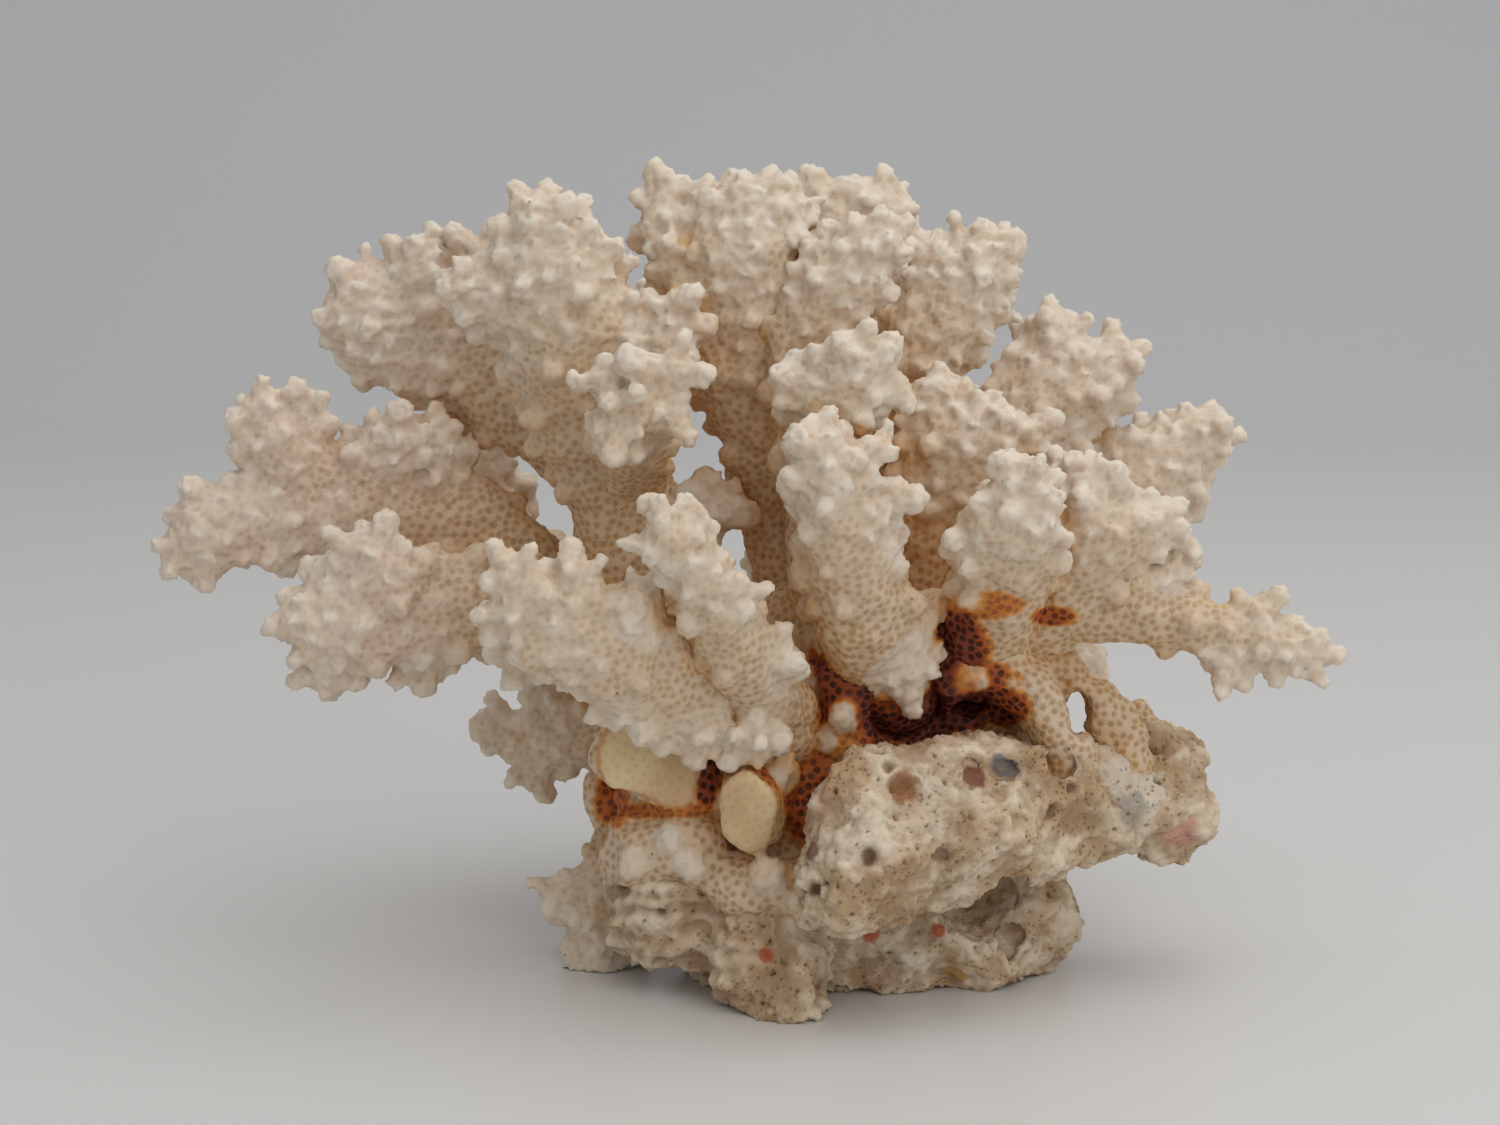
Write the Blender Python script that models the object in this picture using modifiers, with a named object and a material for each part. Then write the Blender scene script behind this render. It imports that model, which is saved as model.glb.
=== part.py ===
"""Cauliflower coral specimen: a knobbly branching colony grown on a lump of bored reef rubble.

Metres, +Z up. The origin is on the resting plane, under the middle of the colony's foot.
Limbs are laid out on a front drawing in millimetres: x to the right, z up, and a depth behind
the drawing. Each station is pushed back from the drawing along the line of sight to its depth.
"""

import bmesh
import bpy
import numpy as np
from mathutils import Matrix, Vector
from mathutils.bvhtree import BVHTree

MM = 0.001
EYE = Vector((0.0, -443.0, 132.0))  # where the front drawing is seen from, mm
TOWARDS_VIEWER = Vector((0.0, -1.0, 0.17))
GAPS = (0.45, 0.55, 0.35, 0.7, 0.85, 1.0)  # clearances from a neighbour, in the order that they are tried
LEAST_OVERLAP = 0.009  # cubic mm
STATION_STEP = 1.6  # spacing of the ellipsoids along a limb, mm
SEED = 11

# Each limb is a list of stations: x, z, depth, half width, half thickness, all in mm.
ROCK = {
    "rubble_base": [
        [(4, 5, -14, 9, 8), (3, -1, -17, 8, 7), (4, -4, -19, 6.5, 6)],
        [(-10, 9, -8, 9, 9), (0, 8, -4, 12, 12), (14, 7, 0, 14, 14), (27, 6, 0, 13, 13), (34, 7, 2, 8, 10)],
        [(26, 4, 2, 12, 11), (24, -1, 2, 9, 9)],
        [(14, 8, 10, 14, 10), (16, 2, 17, 10, 8)],
        [(14, 12, -27, 7.5, 7.5), (20, 17, -22, 9, 9), (31, 21, -14, 9.5, 9), (43, 21, -6, 8.5, 9),
         (52.5, 21, -1, 6, 9)],
        [(12.5, 20, -25, 5.5, 6), (17, 23.6, -23, 6, 6.5), (24.5, 25, -18, 6, 7)],
        [(47, 29, 2, 4, 4), (54, 27, 1, 4.5, 6), (55, 19, 1, 3.5, 5)],
        [(4, 17, 2, 15, 13), (22, 19, 2, 15, 12), (36, 22, 3, 9, 9)],
        [(32, 14, 2, 8, 10), (37, 9, 0, 5, 7)],
    ],
}
COLONY = {
    "colony_foot": [
        [(6, 22, 0, 17, 13), (8, 30, 2, 17, 13), (12, 38, 5, 17, 12), (14, 44, 8, 13, 10)],
        [(-8, 22, -4, 9, 9), (-6, 30, 2, 9, 10)],
        [(-4, 24, -7, 6, 6), (-10, 27, -11, 6, 6.5), (-15.6, 28.6, -13, 4.6, 5)],
        [(2, 24, -8, 5, 5), (0, 21, -20, 3.6, 5.5)],
        [(-14.5, 15.5, -11, 5.2, 5), (-8, 16, -12.5, 5.4, 5)],
        [(-1, 10.5, -15, 4.6, 4.5), (7, 9.6, -17, 4.6, 4.5)],
        [(-18, 21, 2, 3.5, 3.5), (-19.5, 24, 2, 1.6, 2)],
        [(24, 34, 6, 11, 9), (32, 38, 2, 7, 6)],
        [(15, 46, -5, 5, 5), (13.6, 38, -8, 5, 5), (13, 31, -8, 4.6, 4.6)],
        [(25, 45, -5, 5, 5), (26, 38, -6, 4.2, 4.6)],
        [(31, 42, -6, 5, 5), (36, 37, -8, 4, 4), (39, 32, -9, 3.4, 3.4), (41, 27, -9, 4, 4)],
        [(38, 41, -2, 3.5, 3.5), (44, 36, -3, 3.2, 3.2), (48, 30, -4, 3.2, 3.2), (49, 25, -4, 3.6, 4)],
        [(50, 33, 4, 2.5, 2.5), (54, 29, 4, 3, 3)],
    ],
    "left_foot": [
        [(-12, 22, 8, 6, 5), (-17, 13, 4, 5, 5), (-19, 5, 2, 4.6, 4.6), (-19, 1, 1, 4.4, 4.4)],
        [(-20, 10, 3, 3, 3), (-25.5, 9.5, 3, 1.6, 1.8)],
    ],
    "upper_left_limb": [
        [(-10, 42, 4, 8, 7), (-15, 52, 4, 6.6, 5.6), (-16.6, 62, 2, 6.6, 5.2), (-20, 73, 0, 8.5, 5.5),
         (-22, 83, -3, 9, 6), (-25, 91, -5, 7, 5), (-26, 97, -5, 4, 3.8)],
        [(-24, 83, -3, 6, 5), (-32, 88, -4, 4.5, 4), (-35, 89, -5, 3.4, 3.4)],
        [(-21, 85, -3, 6, 5), (-19.6, 91, -4, 3.4, 4)],
        [(-18, 76, -1, 6, 5), (-11.6, 81, -4, 4.8, 4.2), (-9.5, 84, -5, 3.4, 3.4)],
        [(-12, 58, 3, 4.8, 4.6), (-6.5, 60.5, 2, 3.6, 3.6), (-3.4, 60, 2, 2.6, 2.6)],
    ],
    "outer_left_limb": [
        [(-15, 62, 8, 6, 5.5), (-24, 71.5, 11, 6.8, 5), (-34, 79, 13, 8, 5), (-44, 84, 13, 8.5, 4.5),
         (-49, 86, 12, 6, 4)],
        [(-40, 85, 13, 6, 4.5), (-41.5, 91.5, 13, 4, 3.6)],
        [(-34, 84, 12, 4, 4), (-34.8, 93, 12, 2.2, 2.4)],
    ],
    "front_star": [
        [(-15, 64, 2, 4.6, 4.2), (-15, 69, -9, 4.4, 4), (-15, 73, -18, 4.4, 3.6)],
        [(-15, 74, -18, 2.6, 2.6), (-19, 77, -19, 1.6, 1.6)],
        [(-14, 74, -18, 2.6, 2.6), (-14, 78.5, -20, 1.5, 1.5)],
        [(-13, 75, -18, 2.6, 2.6), (-9.8, 79, -19, 1.8, 1.8)],
        [(-13, 73, -18, 3, 3), (-9.4, 72.5, -19, 1.6, 1.6)],
        [(-16, 71, -19, 3, 3), (-17, 68.6, -20, 1.8, 1.8)],
    ],
    "left_arm": [
        [(-10, 42, 6, 7, 6), (-26, 50.6, 8, 5.4, 4), (-38, 59, 8, 7.5, 4), (-50, 62, 6, 8, 4),
         (-61, 60, 4, 6.5, 3.5), (-70, 58, 2, 4.8, 3)],
        [(-56, 64, 5, 5, 3.8), (-61, 70, 4, 4.4, 3.2), (-62, 73, 4, 3, 2.8)],
        [(-57, 68, 5, 4, 3), (-56.5, 74.5, 5, 1.8, 1.8)],
        [(-48, 65, 6, 5, 3.8), (-45, 69.5, 5, 4, 3)],
        [(-40, 63, 8, 5, 3.8), (-40, 69.5, 8, 3, 2.8)],
        [(-65, 58, 3, 5, 3), (-73, 54, 2, 2.4, 2.4)],
    ],
    "left_lobe": [
        [(-12, 40, 0, 7, 6), (-28, 47, -2, 6, 4.5), (-40, 48, -6, 7, 4), (-50, 47.5, -9, 7.5, 4),
         (-56, 46, -10, 4.5, 3.5)],
        [(-46, 50, -9, 5, 4), (-49, 55, -10, 3.4, 3)],
        [(-48, 45, -8, 5, 4), (-54, 39.5, -7, 3.4, 3)],
        [(-40, 45, -5, 5, 4), (-43, 41.5, -5, 3, 3)],
    ],
    "top_limb": [
        [(7, 46, 9, 6.5, 6), (5.2, 55, 8.5, 5.4, 5), (3.6, 63, 8, 6.4, 5), (2.6, 71, 6.6, 6.6, 5.2),
         (0.6, 78, 5.4, 8.6, 5.6), (-1, 86, 4, 8.5, 6), (-1, 93.4, 2, 6.8, 5.5), (-0.5, 99, 2, 4, 4)],
        [(-3, 80, 4, 6, 5), (-8, 89, 4, 4, 4.2), (-10.6, 95.6, 4, 3.2, 3.4), (-10.8, 100.4, 4, 2.4, 2.6)],
        [(-4, 94, 3, 4, 4), (-6, 100, 3, 2, 2.2)],
        [(2, 92, 3, 5, 4.5), (5, 98, 3, 3, 3)],
    ],
    "top_back_limb": [
        [(12, 48, 20, 7, 6), (17, 68, 22, 5.6, 5), (18.4, 84, 24, 4.8, 4.6), (14, 96.5, 25, 7, 5)],
        [(9, 92, 24, 4, 4), (9, 100, 24, 2.6, 3)],
    ],
    "top_right_limb": [
        [(11, 50, 6, 6.5, 6), (8.4, 68, 3.4, 5.6, 5), (6.6, 82, 0.6, 5, 5), (11.4, 90, -0.6, 5.5, 5),
         (16, 94.5, -1, 3.4, 3.6)],
        [(12, 90, 0, 3.6, 3.6), (12, 95, -1, 2, 2.4)],
    ],
    "right_upper_limb": [
        [(15, 50, 10, 8, 6), (17, 68, 11, 7, 5), (19.6, 78, 11, 5.6, 5.2), (25, 86, 11, 6.2, 5.5),
         (29, 91.5, 11, 4.8, 4.8)],
        [(21, 84, 10, 4, 4), (22.5, 92.5, 10, 2.2, 2.6)],
        [(26, 85, 11, 4, 4), (31.4, 86, 11, 1.8, 2)],
    ],
    "right_back_limb": [
        [(20, 46, 17, 8, 6), (27, 62, 22, 7, 5), (33.4, 71, 26, 6.4, 5), (37.2, 78, 28, 5.2, 5),
         (38, 82.6, 28, 3.8, 4)],
        [(37, 73, 27, 5.6, 5), (43, 76.6, 28, 5, 4.6), (46, 79.4, 28, 3.4, 3.4)],
        [(36, 71, 26, 4, 4), (40.5, 69.6, 26, 2, 2)],
    ],
    "far_right_limb": [
        [(24, 42, 17, 7, 6), (36, 53, 24, 6.5, 5), (46, 61, 29, 6.5, 5), (52, 66, 31, 6, 5),
         (57, 69.5, 31, 4, 4)],
        [(48, 65, 30, 4, 4), (46, 69, 30, 2.4, 2.8)],
        [(51, 62, 30, 4, 4), (56, 61.5, 30, 2, 2.4)],
    ],
    "front_fan": [
        [(11, 50, -2, 6, 5), (10, 66, -9, 5.4, 4.5), (10.5, 74, -14, 5.4, 4), (13.6, 79, -16, 3.4, 3.2)],
        [(13, 77, -15, 3, 3), (17, 81.4, -16, 1.5, 1.5)],
        [(12, 75, -14, 4, 3.4), (18, 77, -15, 1.7, 1.7)],
        [(8, 75, -14, 3.2, 3), (7.2, 79.4, -15, 1.6, 1.8)],
        [(11, 73, -14, 3.4, 3), (14.6, 72.4, -16, 1.7, 1.7)],
        [(8, 74, -14, 3, 3), (5.2, 76.4, -15, 1.6, 1.6)],
    ],
    "front_column": [
        [(18, 38, -4, 7, 7), (14.4, 47, -13, 6.6, 6), (11.8, 58, -19, 5.4, 5.6), (9.8, 65.4, -22, 4.4, 4.6),
         (9, 68.4, -23, 3.4, 3.6)],
        [(12.6, 66, -21, 3, 3), (16.4, 68.4, -21, 1.4, 1.6)],
        [(13, 61, -20, 3.6, 3.6), (17.6, 62.2, -20, 1.5, 1.6)],
        [(14, 56, -18, 3.8, 3.8), (18, 58, -18, 1.5, 1.8)],
        [(18, 45, -10, 6, 5), (20.5, 39, -12, 2.6, 3)],
    ],
    "right_mid_fan": [
        [(23, 41, 3, 6, 6), (23, 52, 2, 5.5, 4.6), (24.5, 62, 1, 7, 4.6), (27, 68.5, 0, 7, 4.4),
         (29, 71.5, 0, 4, 4)],
        [(22, 68, 1, 3.4, 3.4), (21, 75, 0, 1.7, 1.8)],
        [(24, 70, 0, 3.4, 3.4), (24, 76, 0, 1.9, 2)],
        [(30, 68, 0, 4, 4), (34.6, 70.6, 0, 2.2, 2.6)],
    ],
    "right_front_plate": [
        [(28.5, 41, -4, 5.5, 5.5), (32, 50, -13, 6, 4.4), (33.5, 58, -18, 6.2, 4.2),
         (35, 63.5, -19, 3.4, 3.4)],
        [(30, 54, -16, 3.4, 3.4), (26.6, 56.4, -17, 1.8, 2)],
    ],
    "right_arm": [
        [(42.6, 46.6, -6.6, 3.4, 3.8), (50, 48, -8, 4.8, 4.4),
         (58, 45.2, -9, 3.6, 3.8), (66, 43.4, -10, 3.4, 3.2), (72.4, 41.4, -10, 2.2, 2.4)],
        [(50, 49, -8, 4.4, 4), (53.5, 52.6, -8, 3, 3)],
        [(60, 44, -9, 3, 3), (61.4, 39.8, -11, 2, 2.2)],
        [(64, 44.6, -10, 2.6, 2.6), (65, 46.8, -10, 2, 2.2)],
    ],
    "right_fan": [
        [(32, 42, 0, 6, 6), (41, 51, -7, 6.5, 5), (44, 58, -10, 6.2, 5), (42, 63.5, -10, 3.6, 4)],
        [(46, 56, -9, 4.6, 4), (51.5, 58.5, -9, 3, 3), (54.6, 57, -9, 1.9, 2)],
        [(45, 58, -10, 3, 3), (46.6, 63, -11, 1.4, 1.6)],
        [(47, 58, -10, 3, 3), (49.2, 61.6, -10, 1.5, 1.6)],
    ],
    "front_left_fan": [
        [(2, 34, -8, 7, 6), (-8, 37, -19, 7, 4.4), (-16, 41, -24, 6.6, 4), (-24, 46, -26, 6, 3.8),
         (-29.5, 48.5, -27, 4, 3.2)],
        [(-12, 42, -22, 4.4, 3.8), (-15, 48, -25, 3.2, 3.2)],
        [(-21, 48, -26, 3.6, 3.2), (-23, 53.4, -27, 2, 2.2)],
        [(-27, 49, -27, 3, 3), (-30.4, 52.6, -28, 1.8, 2)],
        [(-27, 46, -26, 3.4, 3), (-33, 45.4, -26, 1.7, 2)],
        [(-12, 36, -21, 4.6, 3.6), (-17, 35.6, -22, 2.8, 2.8)],
        [(-7, 34, -19, 5, 3.6), (-7, 31.4, -20, 4, 2.8)],
        [(-22, 44, -22, 3.6, 3), (-29.6, 41, -20, 2.4, 2.4)],
    ],
    "front_finger": [
        [(4, 32, -8, 6, 6), (-1, 41, -21, 4.8, 4.4), (-5, 49, -26, 4.2, 4), (-8, 54, -29, 3.2, 3.4),
         (-10.5, 57, -30, 3, 3)],
        [(-10, 57, -30, 2.4, 2.4), (-13.6, 56, -30, 1.6, 1.8)],
        [(-10, 57, -30, 2.2, 2.2), (-12, 60.6, -31, 1.5, 1.6)],
        [(-9, 57, -30, 2, 2), (-7, 60, -30, 1.4, 1.5)],
        [(0, 33, -14, 4.4, 4), (0, 30.4, -20, 3.4, 3)],
        [(2, 36, -16, 3.6, 3.4), (3.8, 42, -21, 1.9, 2)],
        [(-3, 46, -25, 3.4, 3.2), (-0.8, 49.6, -26, 1.8, 2)],
    ],
    "low_left_branch": [
        [(-9, 31.6, 5, 6.6, 6), (-18, 33, 9, 6, 3.4), (-25, 31, 11, 4.6, 3), (-29.5, 29.6, 12, 3, 2.4)],
        [(-29, 30.5, 12, 2.2, 2), (-34.6, 31.4, 12, 1.3, 1.4)],
        [(-29, 31, 12, 2.2, 2), (-32, 33.8, 12, 1.3, 1.4)],
        [(-22, 34, 10, 3.4, 2.8), (-27.4, 38, 11, 1.9, 2)],
        [(-27, 29, 11, 2.6, 2.2), (-28.4, 26, 11, 1.6, 1.8)],
    ],
    "back_left_limb": [
        [(2, 37, 11, 7, 6), (-8, 40, 21, 6, 5), (-22, 46, 30, 5, 4.6), (-32, 56, 32, 4.8, 4.4),
         (-34, 66, 32, 4.4, 4), (-34, 70.6, 32, 3.2, 3.2)],
        [(-14, 43, 25, 5, 4.4), (-15.4, 54, 37, 4, 4), (-15, 61, 42, 3, 3)],
        [(-31, 56, 30, 4.4, 4), (-36, 61, 37, 3.4, 3.4)],
    ],
    "back_top_limb": [
        [(6, 42, 16, 7, 6), (6.6, 56, 31, 5.6, 5), (4.4, 71, 40, 5.8, 5), (2, 80, 43, 5, 4.6),
         (0, 85, 44, 3.4, 3.4)],
        [(4.6, 73, 40, 4.6, 4.2), (8, 79, 46, 3.6, 3.6), (9, 83, 48, 2.8, 2.8)],
        [(2, 79, 43, 4.6, 4.2), (-7, 83.4, 43, 3.8, 3.6), (-12.6, 85.6, 42, 2.8, 2.8)],
        [(5, 66, 38, 4.4, 4), (3, 68, 49, 3, 3)],
    ],
    "back_right_limb": [
        [(16, 42, 14, 8, 6), (22, 54, 30, 7, 5.2), (27, 64, 39, 6.4, 5), (31, 72, 43, 4.4, 4.2)],
        [(24, 58, 34, 5, 4.6), (20, 68, 42, 4.4, 4), (20, 74, 44, 3, 3)],
        [(26, 61, 38, 4.6, 4.4), (33, 62, 46, 3.4, 3.4)],
    ],
    "back_middle_limb": [
        [(10, 42, 18, 8, 6), (9, 48, 36, 6.6, 5), (8, 55, 48, 6, 4.6), (7, 61, 54, 4, 3.8)],
        [(9, 50, 40, 5, 4.4), (15, 57, 50, 4, 3.8), (17, 60, 54, 2.8, 2.8)],
        [(8, 53, 45, 4.4, 4), (2, 54, 54, 3.2, 3.2)],
    ],
    "low_back_left_limb": [
        [(0, 34, 10, 8, 7), (-6, 38, 28, 6.6, 4.8), (-13, 44, 38, 6, 4.4), (-17, 48, 42, 3.6, 3.6)],
        [(-7, 40, 32, 4.6, 4.4), (-4, 44, 44, 4, 3.8), (-2, 46, 49, 3, 3)],
        [(-10, 42, 35, 4.4, 4), (-18, 39, 38, 3.2, 3.2)],
    ],
    "low_back_right_limb": [
        [(22, 34, 8, 8, 7), (31, 38, 25, 6.4, 4.8), (38, 45, 34, 5.4, 4.4), (42, 50, 38, 3.4, 3.6)],
        [(32, 40, 28, 4.6, 4.4), (29, 46, 40, 4, 3.8), (28, 50, 44, 3, 3)],
        [(35, 41, 30, 4.4, 4), (43, 40, 34, 3, 3)],
    ],
    "low_back_middle_limb": [
        [(11, 34, 14, 7, 6.6), (10, 34, 32, 6, 5), (9, 38, 44, 5.6, 4.4), (8, 42, 49, 3.6, 3.6)],
        [(10, 35, 36, 4.6, 4.4), (17, 39, 45, 3.8, 3.6), (20, 42, 48, 2.8, 2.8)],
    ],
}

# Rounded hollows taken out of a node: x, z, depth, half width, half height, half depth, in mm.
HOLLOWS = {
    "rubble_base": [
        (30, 9, -14, 6.5, 5.5, 9), (46, 13, -6, 6, 3, 10), (20, 23.6, -31, 2.4, 1.8, 4),
        (23.4, 26, -30, 2.0, 1.5, 3), (28.8, 25.6, -25, 1.7, 1.3, 3), (33, 27.6, -22, 2.4, 2.4, 4),
        (40, 27, -14, 1.8, 2.4, 3.5), (13, 12.4, -36, 3.0, 3.0, 2.4), (-6, 5, -20, 3, 1.6, 3),
        (15, 0.5, -19, 3, 2.2, 6), (34, 3.6, -10, 1.8, 1.6, 3),
    ],
    "colony_foot": [(20.6, 33, -13, 5, 4.6, 14), (29, 33.4, -10, 3, 2.2, 12), (42.4, 34, -6, 1.7, 2.8, 9)],
}
# Flat broken faces: a point of the face as x, z, depth, and the way that the face looks.
BREAKS = {
    "colony_foot": [((-12.5, 27.5, -15.6), (-0.15, -1, 0.1), 8), ((0, 20.6, -21.4), (-0.1, -1, -0.12), 7)],
}
TRIANGLES = {"rubble_base": 1150, "colony_foot": 700}
TRIANGLES_PER_MM = 1.3  # of limb, for the nodes that TRIANGLES doesn't name
LEAST_TRIANGLES = 50
VOXEL = 0.9  # mm
THINNING = (1.0, 1.04, 0.96, 1.08, 1.12, 1.2)  # times the wanted triangles, in the order that they are tried
CLEANING = ((0.03, 0.02), (0.03, 0.0), (0.005, 0.01), (0.0, 0.0))  # merge distance mm, flat angle
CUT_ERROR = 0.01  # share of a node's volume that a cut may be out by
FORK_BASE = 0.6  # nearness to the tip that a fork starts with
EDGE_ON = 0.85  # share of depth in a limb's run above which its blade faces up instead
KNOB_TRIES = 60  # candidate places for each ellipsoid
CLEAR_OF_BALL = 0.985  # share of an ellipsoid's radius inside which a candidate is buried
KNOB_SPACING = 5.6
SPACING_AT_ROOT = 1.45  # times the spacing at a limb's root, easing to 1 at its tip
SPACING_ON_FLAT = 1.2  # times the spacing on a blade's flat side
SPACING_ON_RIM = 0.9
KNOB_LEAN = 0.55  # how far the knobs on a rim lean along the limb
KNOB_WOBBLE = 0.12
KNOB_RADIUS = 2.0
KNOB_LENGTH = (1.0, 2.8)  # on a blade's flat side, and on its rim at the tip
KNOBS_FROM = 0.4  # share of a limb's length below which it is bare
KNOB_BALLS = ((0.0, 1.05), (0.5, 1.0), (1.0, 0.85))  # share of the knob's run, and size of each ball
ROCK_LUMPS = (7.0, 2.6)  # size and height of the lumps on the rubble, mm
GROUND = (0.3, 0.3, 0.04)  # size of the block that the resting faces are cut with, m
LOW = 1.0  # height below which a node meets the ground, mm
CHALK = (0.55, 0.46, 0.36, 1.0)
RUST = (0.42, 0.26, 0.15, 1.0)
WHITE = (0.72, 0.66, 0.58, 1.0)
CREAM = (0.66, 0.57, 0.45, 1.0)
TAN = (0.62, 0.49, 0.34, 1.0)
PINK_BEIGE = (0.64, 0.51, 0.42, 1.0)
TINTS = {
    "rubble_base": CHALK,
    "colony_foot": RUST,
    "left_arm": PINK_BEIGE,
    "left_lobe": PINK_BEIGE,
    "low_left_branch": PINK_BEIGE,
    "left_foot": CREAM,
    "front_star": WHITE,
    "front_fan": WHITE,
    "front_column": WHITE,
    "right_front_plate": WHITE,
    "right_arm": WHITE,
    "right_fan": WHITE,
    "front_finger": CREAM,
    "front_left_fan": CREAM,
    "top_limb": CREAM,
    "upper_left_limb": CREAM,
    "outer_left_limb": CREAM,
    "top_right_limb": CREAM,
}  # the other limbs are TAN
STONE_ROUGHNESS = 0.9
CORAL_ROUGHNESS = 0.75
METALLIC = 0.0


def at(x, z, depth):
    """Place a point of the front drawing at its depth, along the line of sight, in mm."""
    reach = 1.0 - depth / EYE.y
    return Vector((x * reach, depth, EYE.z + (z - EYE.z) * reach))


def balls_along(limb, base, span):
    """List the ellipsoids of one limb: centre, frame, radii and how near the tip each one is."""
    balls = []
    for first, last in zip(limb, limb[1:]):
        start, end = at(*first[:3]), at(*last[:3])
        way = (end - start).normalized()
        facing = TOWARDS_VIEWER if abs(way.y) < EDGE_ON else Vector((0, 0, 1))
        facing = (facing - facing.dot(way) * way).normalized()
        frame = np.array([way, facing.cross(way), facing])
        steps = max(1, round((end - start).length / STATION_STEP))
        for step in range(steps + 1):
            share = step / steps
            wide = first[3] + (last[3] - first[3]) * share
            thick = first[4] + (last[4] - first[4]) * share
            middle = np.array(start.lerp(end, share))
            balls.append((middle, frame, np.array((0.5 * (wide + thick), wide, thick))))
    count = max(1, len(balls) - 1)
    return [(*ball, base + span * index / count) for index, ball in enumerate(balls)]


def balls_of(limbs):
    """List the ellipsoids of a node. The first limb runs from root to tip, the others are forks."""
    balls = balls_along(limbs[0], 0.0, 1.0)
    for fork in limbs[1:]:
        balls += balls_along(fork, FORK_BASE, 1.0 - FORK_BASE)
    return balls


def surface_points(balls, rng, tries):
    """Scatter points over the outside of overlapping ellipsoids."""
    centres = np.array([ball[0] for ball in balls])
    frames = np.array([ball[1] for ball in balls])
    radii = np.array([ball[2] for ball in balls])
    owner = np.repeat(np.arange(len(balls)), tries)
    way = rng.normal(size=(len(owner), 3))
    way /= np.linalg.norm(way, axis=1)[:, None]
    spots = centres[owner] + np.einsum("ni,nij->nj", way * radii[owner], frames[owner])
    normals = np.einsum("ni,nij->nj", way / radii[owner], frames[owner])
    normals /= np.linalg.norm(normals, axis=1)[:, None]
    outside = np.ones(len(owner), bool)
    for index in range(len(balls)):
        local = (spots - centres[index]) @ frames[index].T / radii[index]
        outside &= (np.linalg.norm(local, axis=1) > CLEAR_OF_BALL) | (owner == index)
    return spots[outside], normals[outside], owner[outside]


def knobs_of(balls, rng, spacing, least):
    """Choose evenly spread knobs: foot, way out, rim share and nearness to the tip of each."""
    spots, normals, owners = surface_points(balls, rng, KNOB_TRIES)
    knobs = []
    feet = []
    for index in rng.permutation(len(spots)):
        ball = balls[owners[index]]
        nearness = ball[3]
        if nearness < least:
            continue
        rim = 1.0 - abs(float(normals[index] @ ball[1][2]))
        apart = spacing * (SPACING_AT_ROOT + (1.0 - SPACING_AT_ROOT) * nearness)
        apart *= SPACING_ON_FLAT + (SPACING_ON_RIM - SPACING_ON_FLAT) * rim
        if feet and np.min(np.linalg.norm(np.array(feet) - spots[index], axis=1)) < apart:
            continue
        feet.append(spots[index])
        out = normals[index] + KNOB_LEAN * rim * ball[1][0] + rng.normal(scale=KNOB_WOBBLE, size=3)
        knobs.append((spots[index], out / np.linalg.norm(out), rim, nearness))
    return knobs


def add_ball(bm, centre, frame, radii, detail=2):
    """Add one ellipsoid, given in mm, to a mesh in metres."""
    turn = Matrix(np.array(frame).T.tolist()).to_4x4()
    stretch = Matrix.Diagonal((*[radius * MM for radius in radii], 1.0))
    where = Matrix.Translation(Vector(centre) * MM)
    bmesh.ops.create_icosphere(bm, subdivisions=detail, radius=1.0, matrix=where @ turn @ stretch)


def add_knob(bm, knob, radius, length):
    """Add one knob, a round-ended stub that stands out from the limb by its length."""
    foot, out, _, _ = knob
    frame = np.eye(3)
    for share, swell in KNOB_BALLS:
        size = radius * swell
        spot = foot + out * (length - KNOB_BALLS[-1][1] * radius) * share
        add_ball(bm, spot, frame, (size, size, size), 1)


def new_object(name, mesh, group):
    """Put a mesh in a collection as an object."""
    obj = bpy.data.objects.new(name, mesh)
    group.objects.link(obj)
    return obj


def bake(obj):
    """Replace an object's mesh by its evaluated one and take its modifiers off."""
    graph = bpy.context.evaluated_depsgraph_get()
    old = obj.data
    obj.data = bpy.data.meshes.new_from_object(obj.evaluated_get(graph))
    obj.modifiers.clear()
    bpy.data.meshes.remove(old)


def size_of(mesh):
    """Measure the volume that a mesh encloses, in cubic mm, and whether it is closed and uncrossed."""
    bm = bmesh.new()
    bm.from_mesh(mesh)
    bmesh.ops.triangulate(bm, faces=bm.faces)
    volume = bm.calc_volume(signed=True) / MM ** 3
    sound = is_sound(bm)
    bm.free()
    return volume, sound


def is_sound(bm):
    """Say whether a mesh of triangles is closed, with no face that goes through another."""
    if not all(edge.is_manifold for edge in bm.edges):
        return False
    bm.faces.ensure_lookup_table()
    tree = BVHTree.FromBMesh(bm)
    corners = [set(face.verts) for face in bm.faces]
    return all(corners[one] & corners[other] for one, other in tree.overlap(tree) if one < other)


def combined(obj, other, operation, solver):
    """Make the mesh that a Boolean of two objects gives, and leave both as they are."""
    step = obj.modifiers.new("step", "BOOLEAN")
    step.operation = operation
    step.solver = solver
    step.object = other
    graph = bpy.context.evaluated_depsgraph_get()
    mesh = bpy.data.meshes.new_from_object(obj.evaluated_get(graph))
    obj.modifiers.remove(step)
    return mesh


def shared_volume(obj, other):
    """Measure how much two objects overlap, in cubic mm."""
    mesh = combined(obj, other, "INTERSECT", "MANIFOLD")
    volume, _ = size_of(mesh)
    bpy.data.meshes.remove(mesh)
    return volume


def cut_mesh(obj, cutter):
    """Make the mesh of an object less a cutter, and say whether it came out sound and of the right volume."""
    before, _ = size_of(obj.data)
    shared = shared_volume(obj, cutter)
    for solver in ("EXACT", "MANIFOLD"):
        mesh = combined(obj, cutter, "DIFFERENCE", solver)
        after, sound = size_of(mesh)
        good = sound and abs(before - shared - after) < CUT_ERROR * before
        if good:
            break
    return mesh, good


def take_mesh(obj, mesh):
    """Give an object another mesh and remove its old one."""
    old = obj.data
    obj.data = mesh
    bpy.data.meshes.remove(old)


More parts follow.
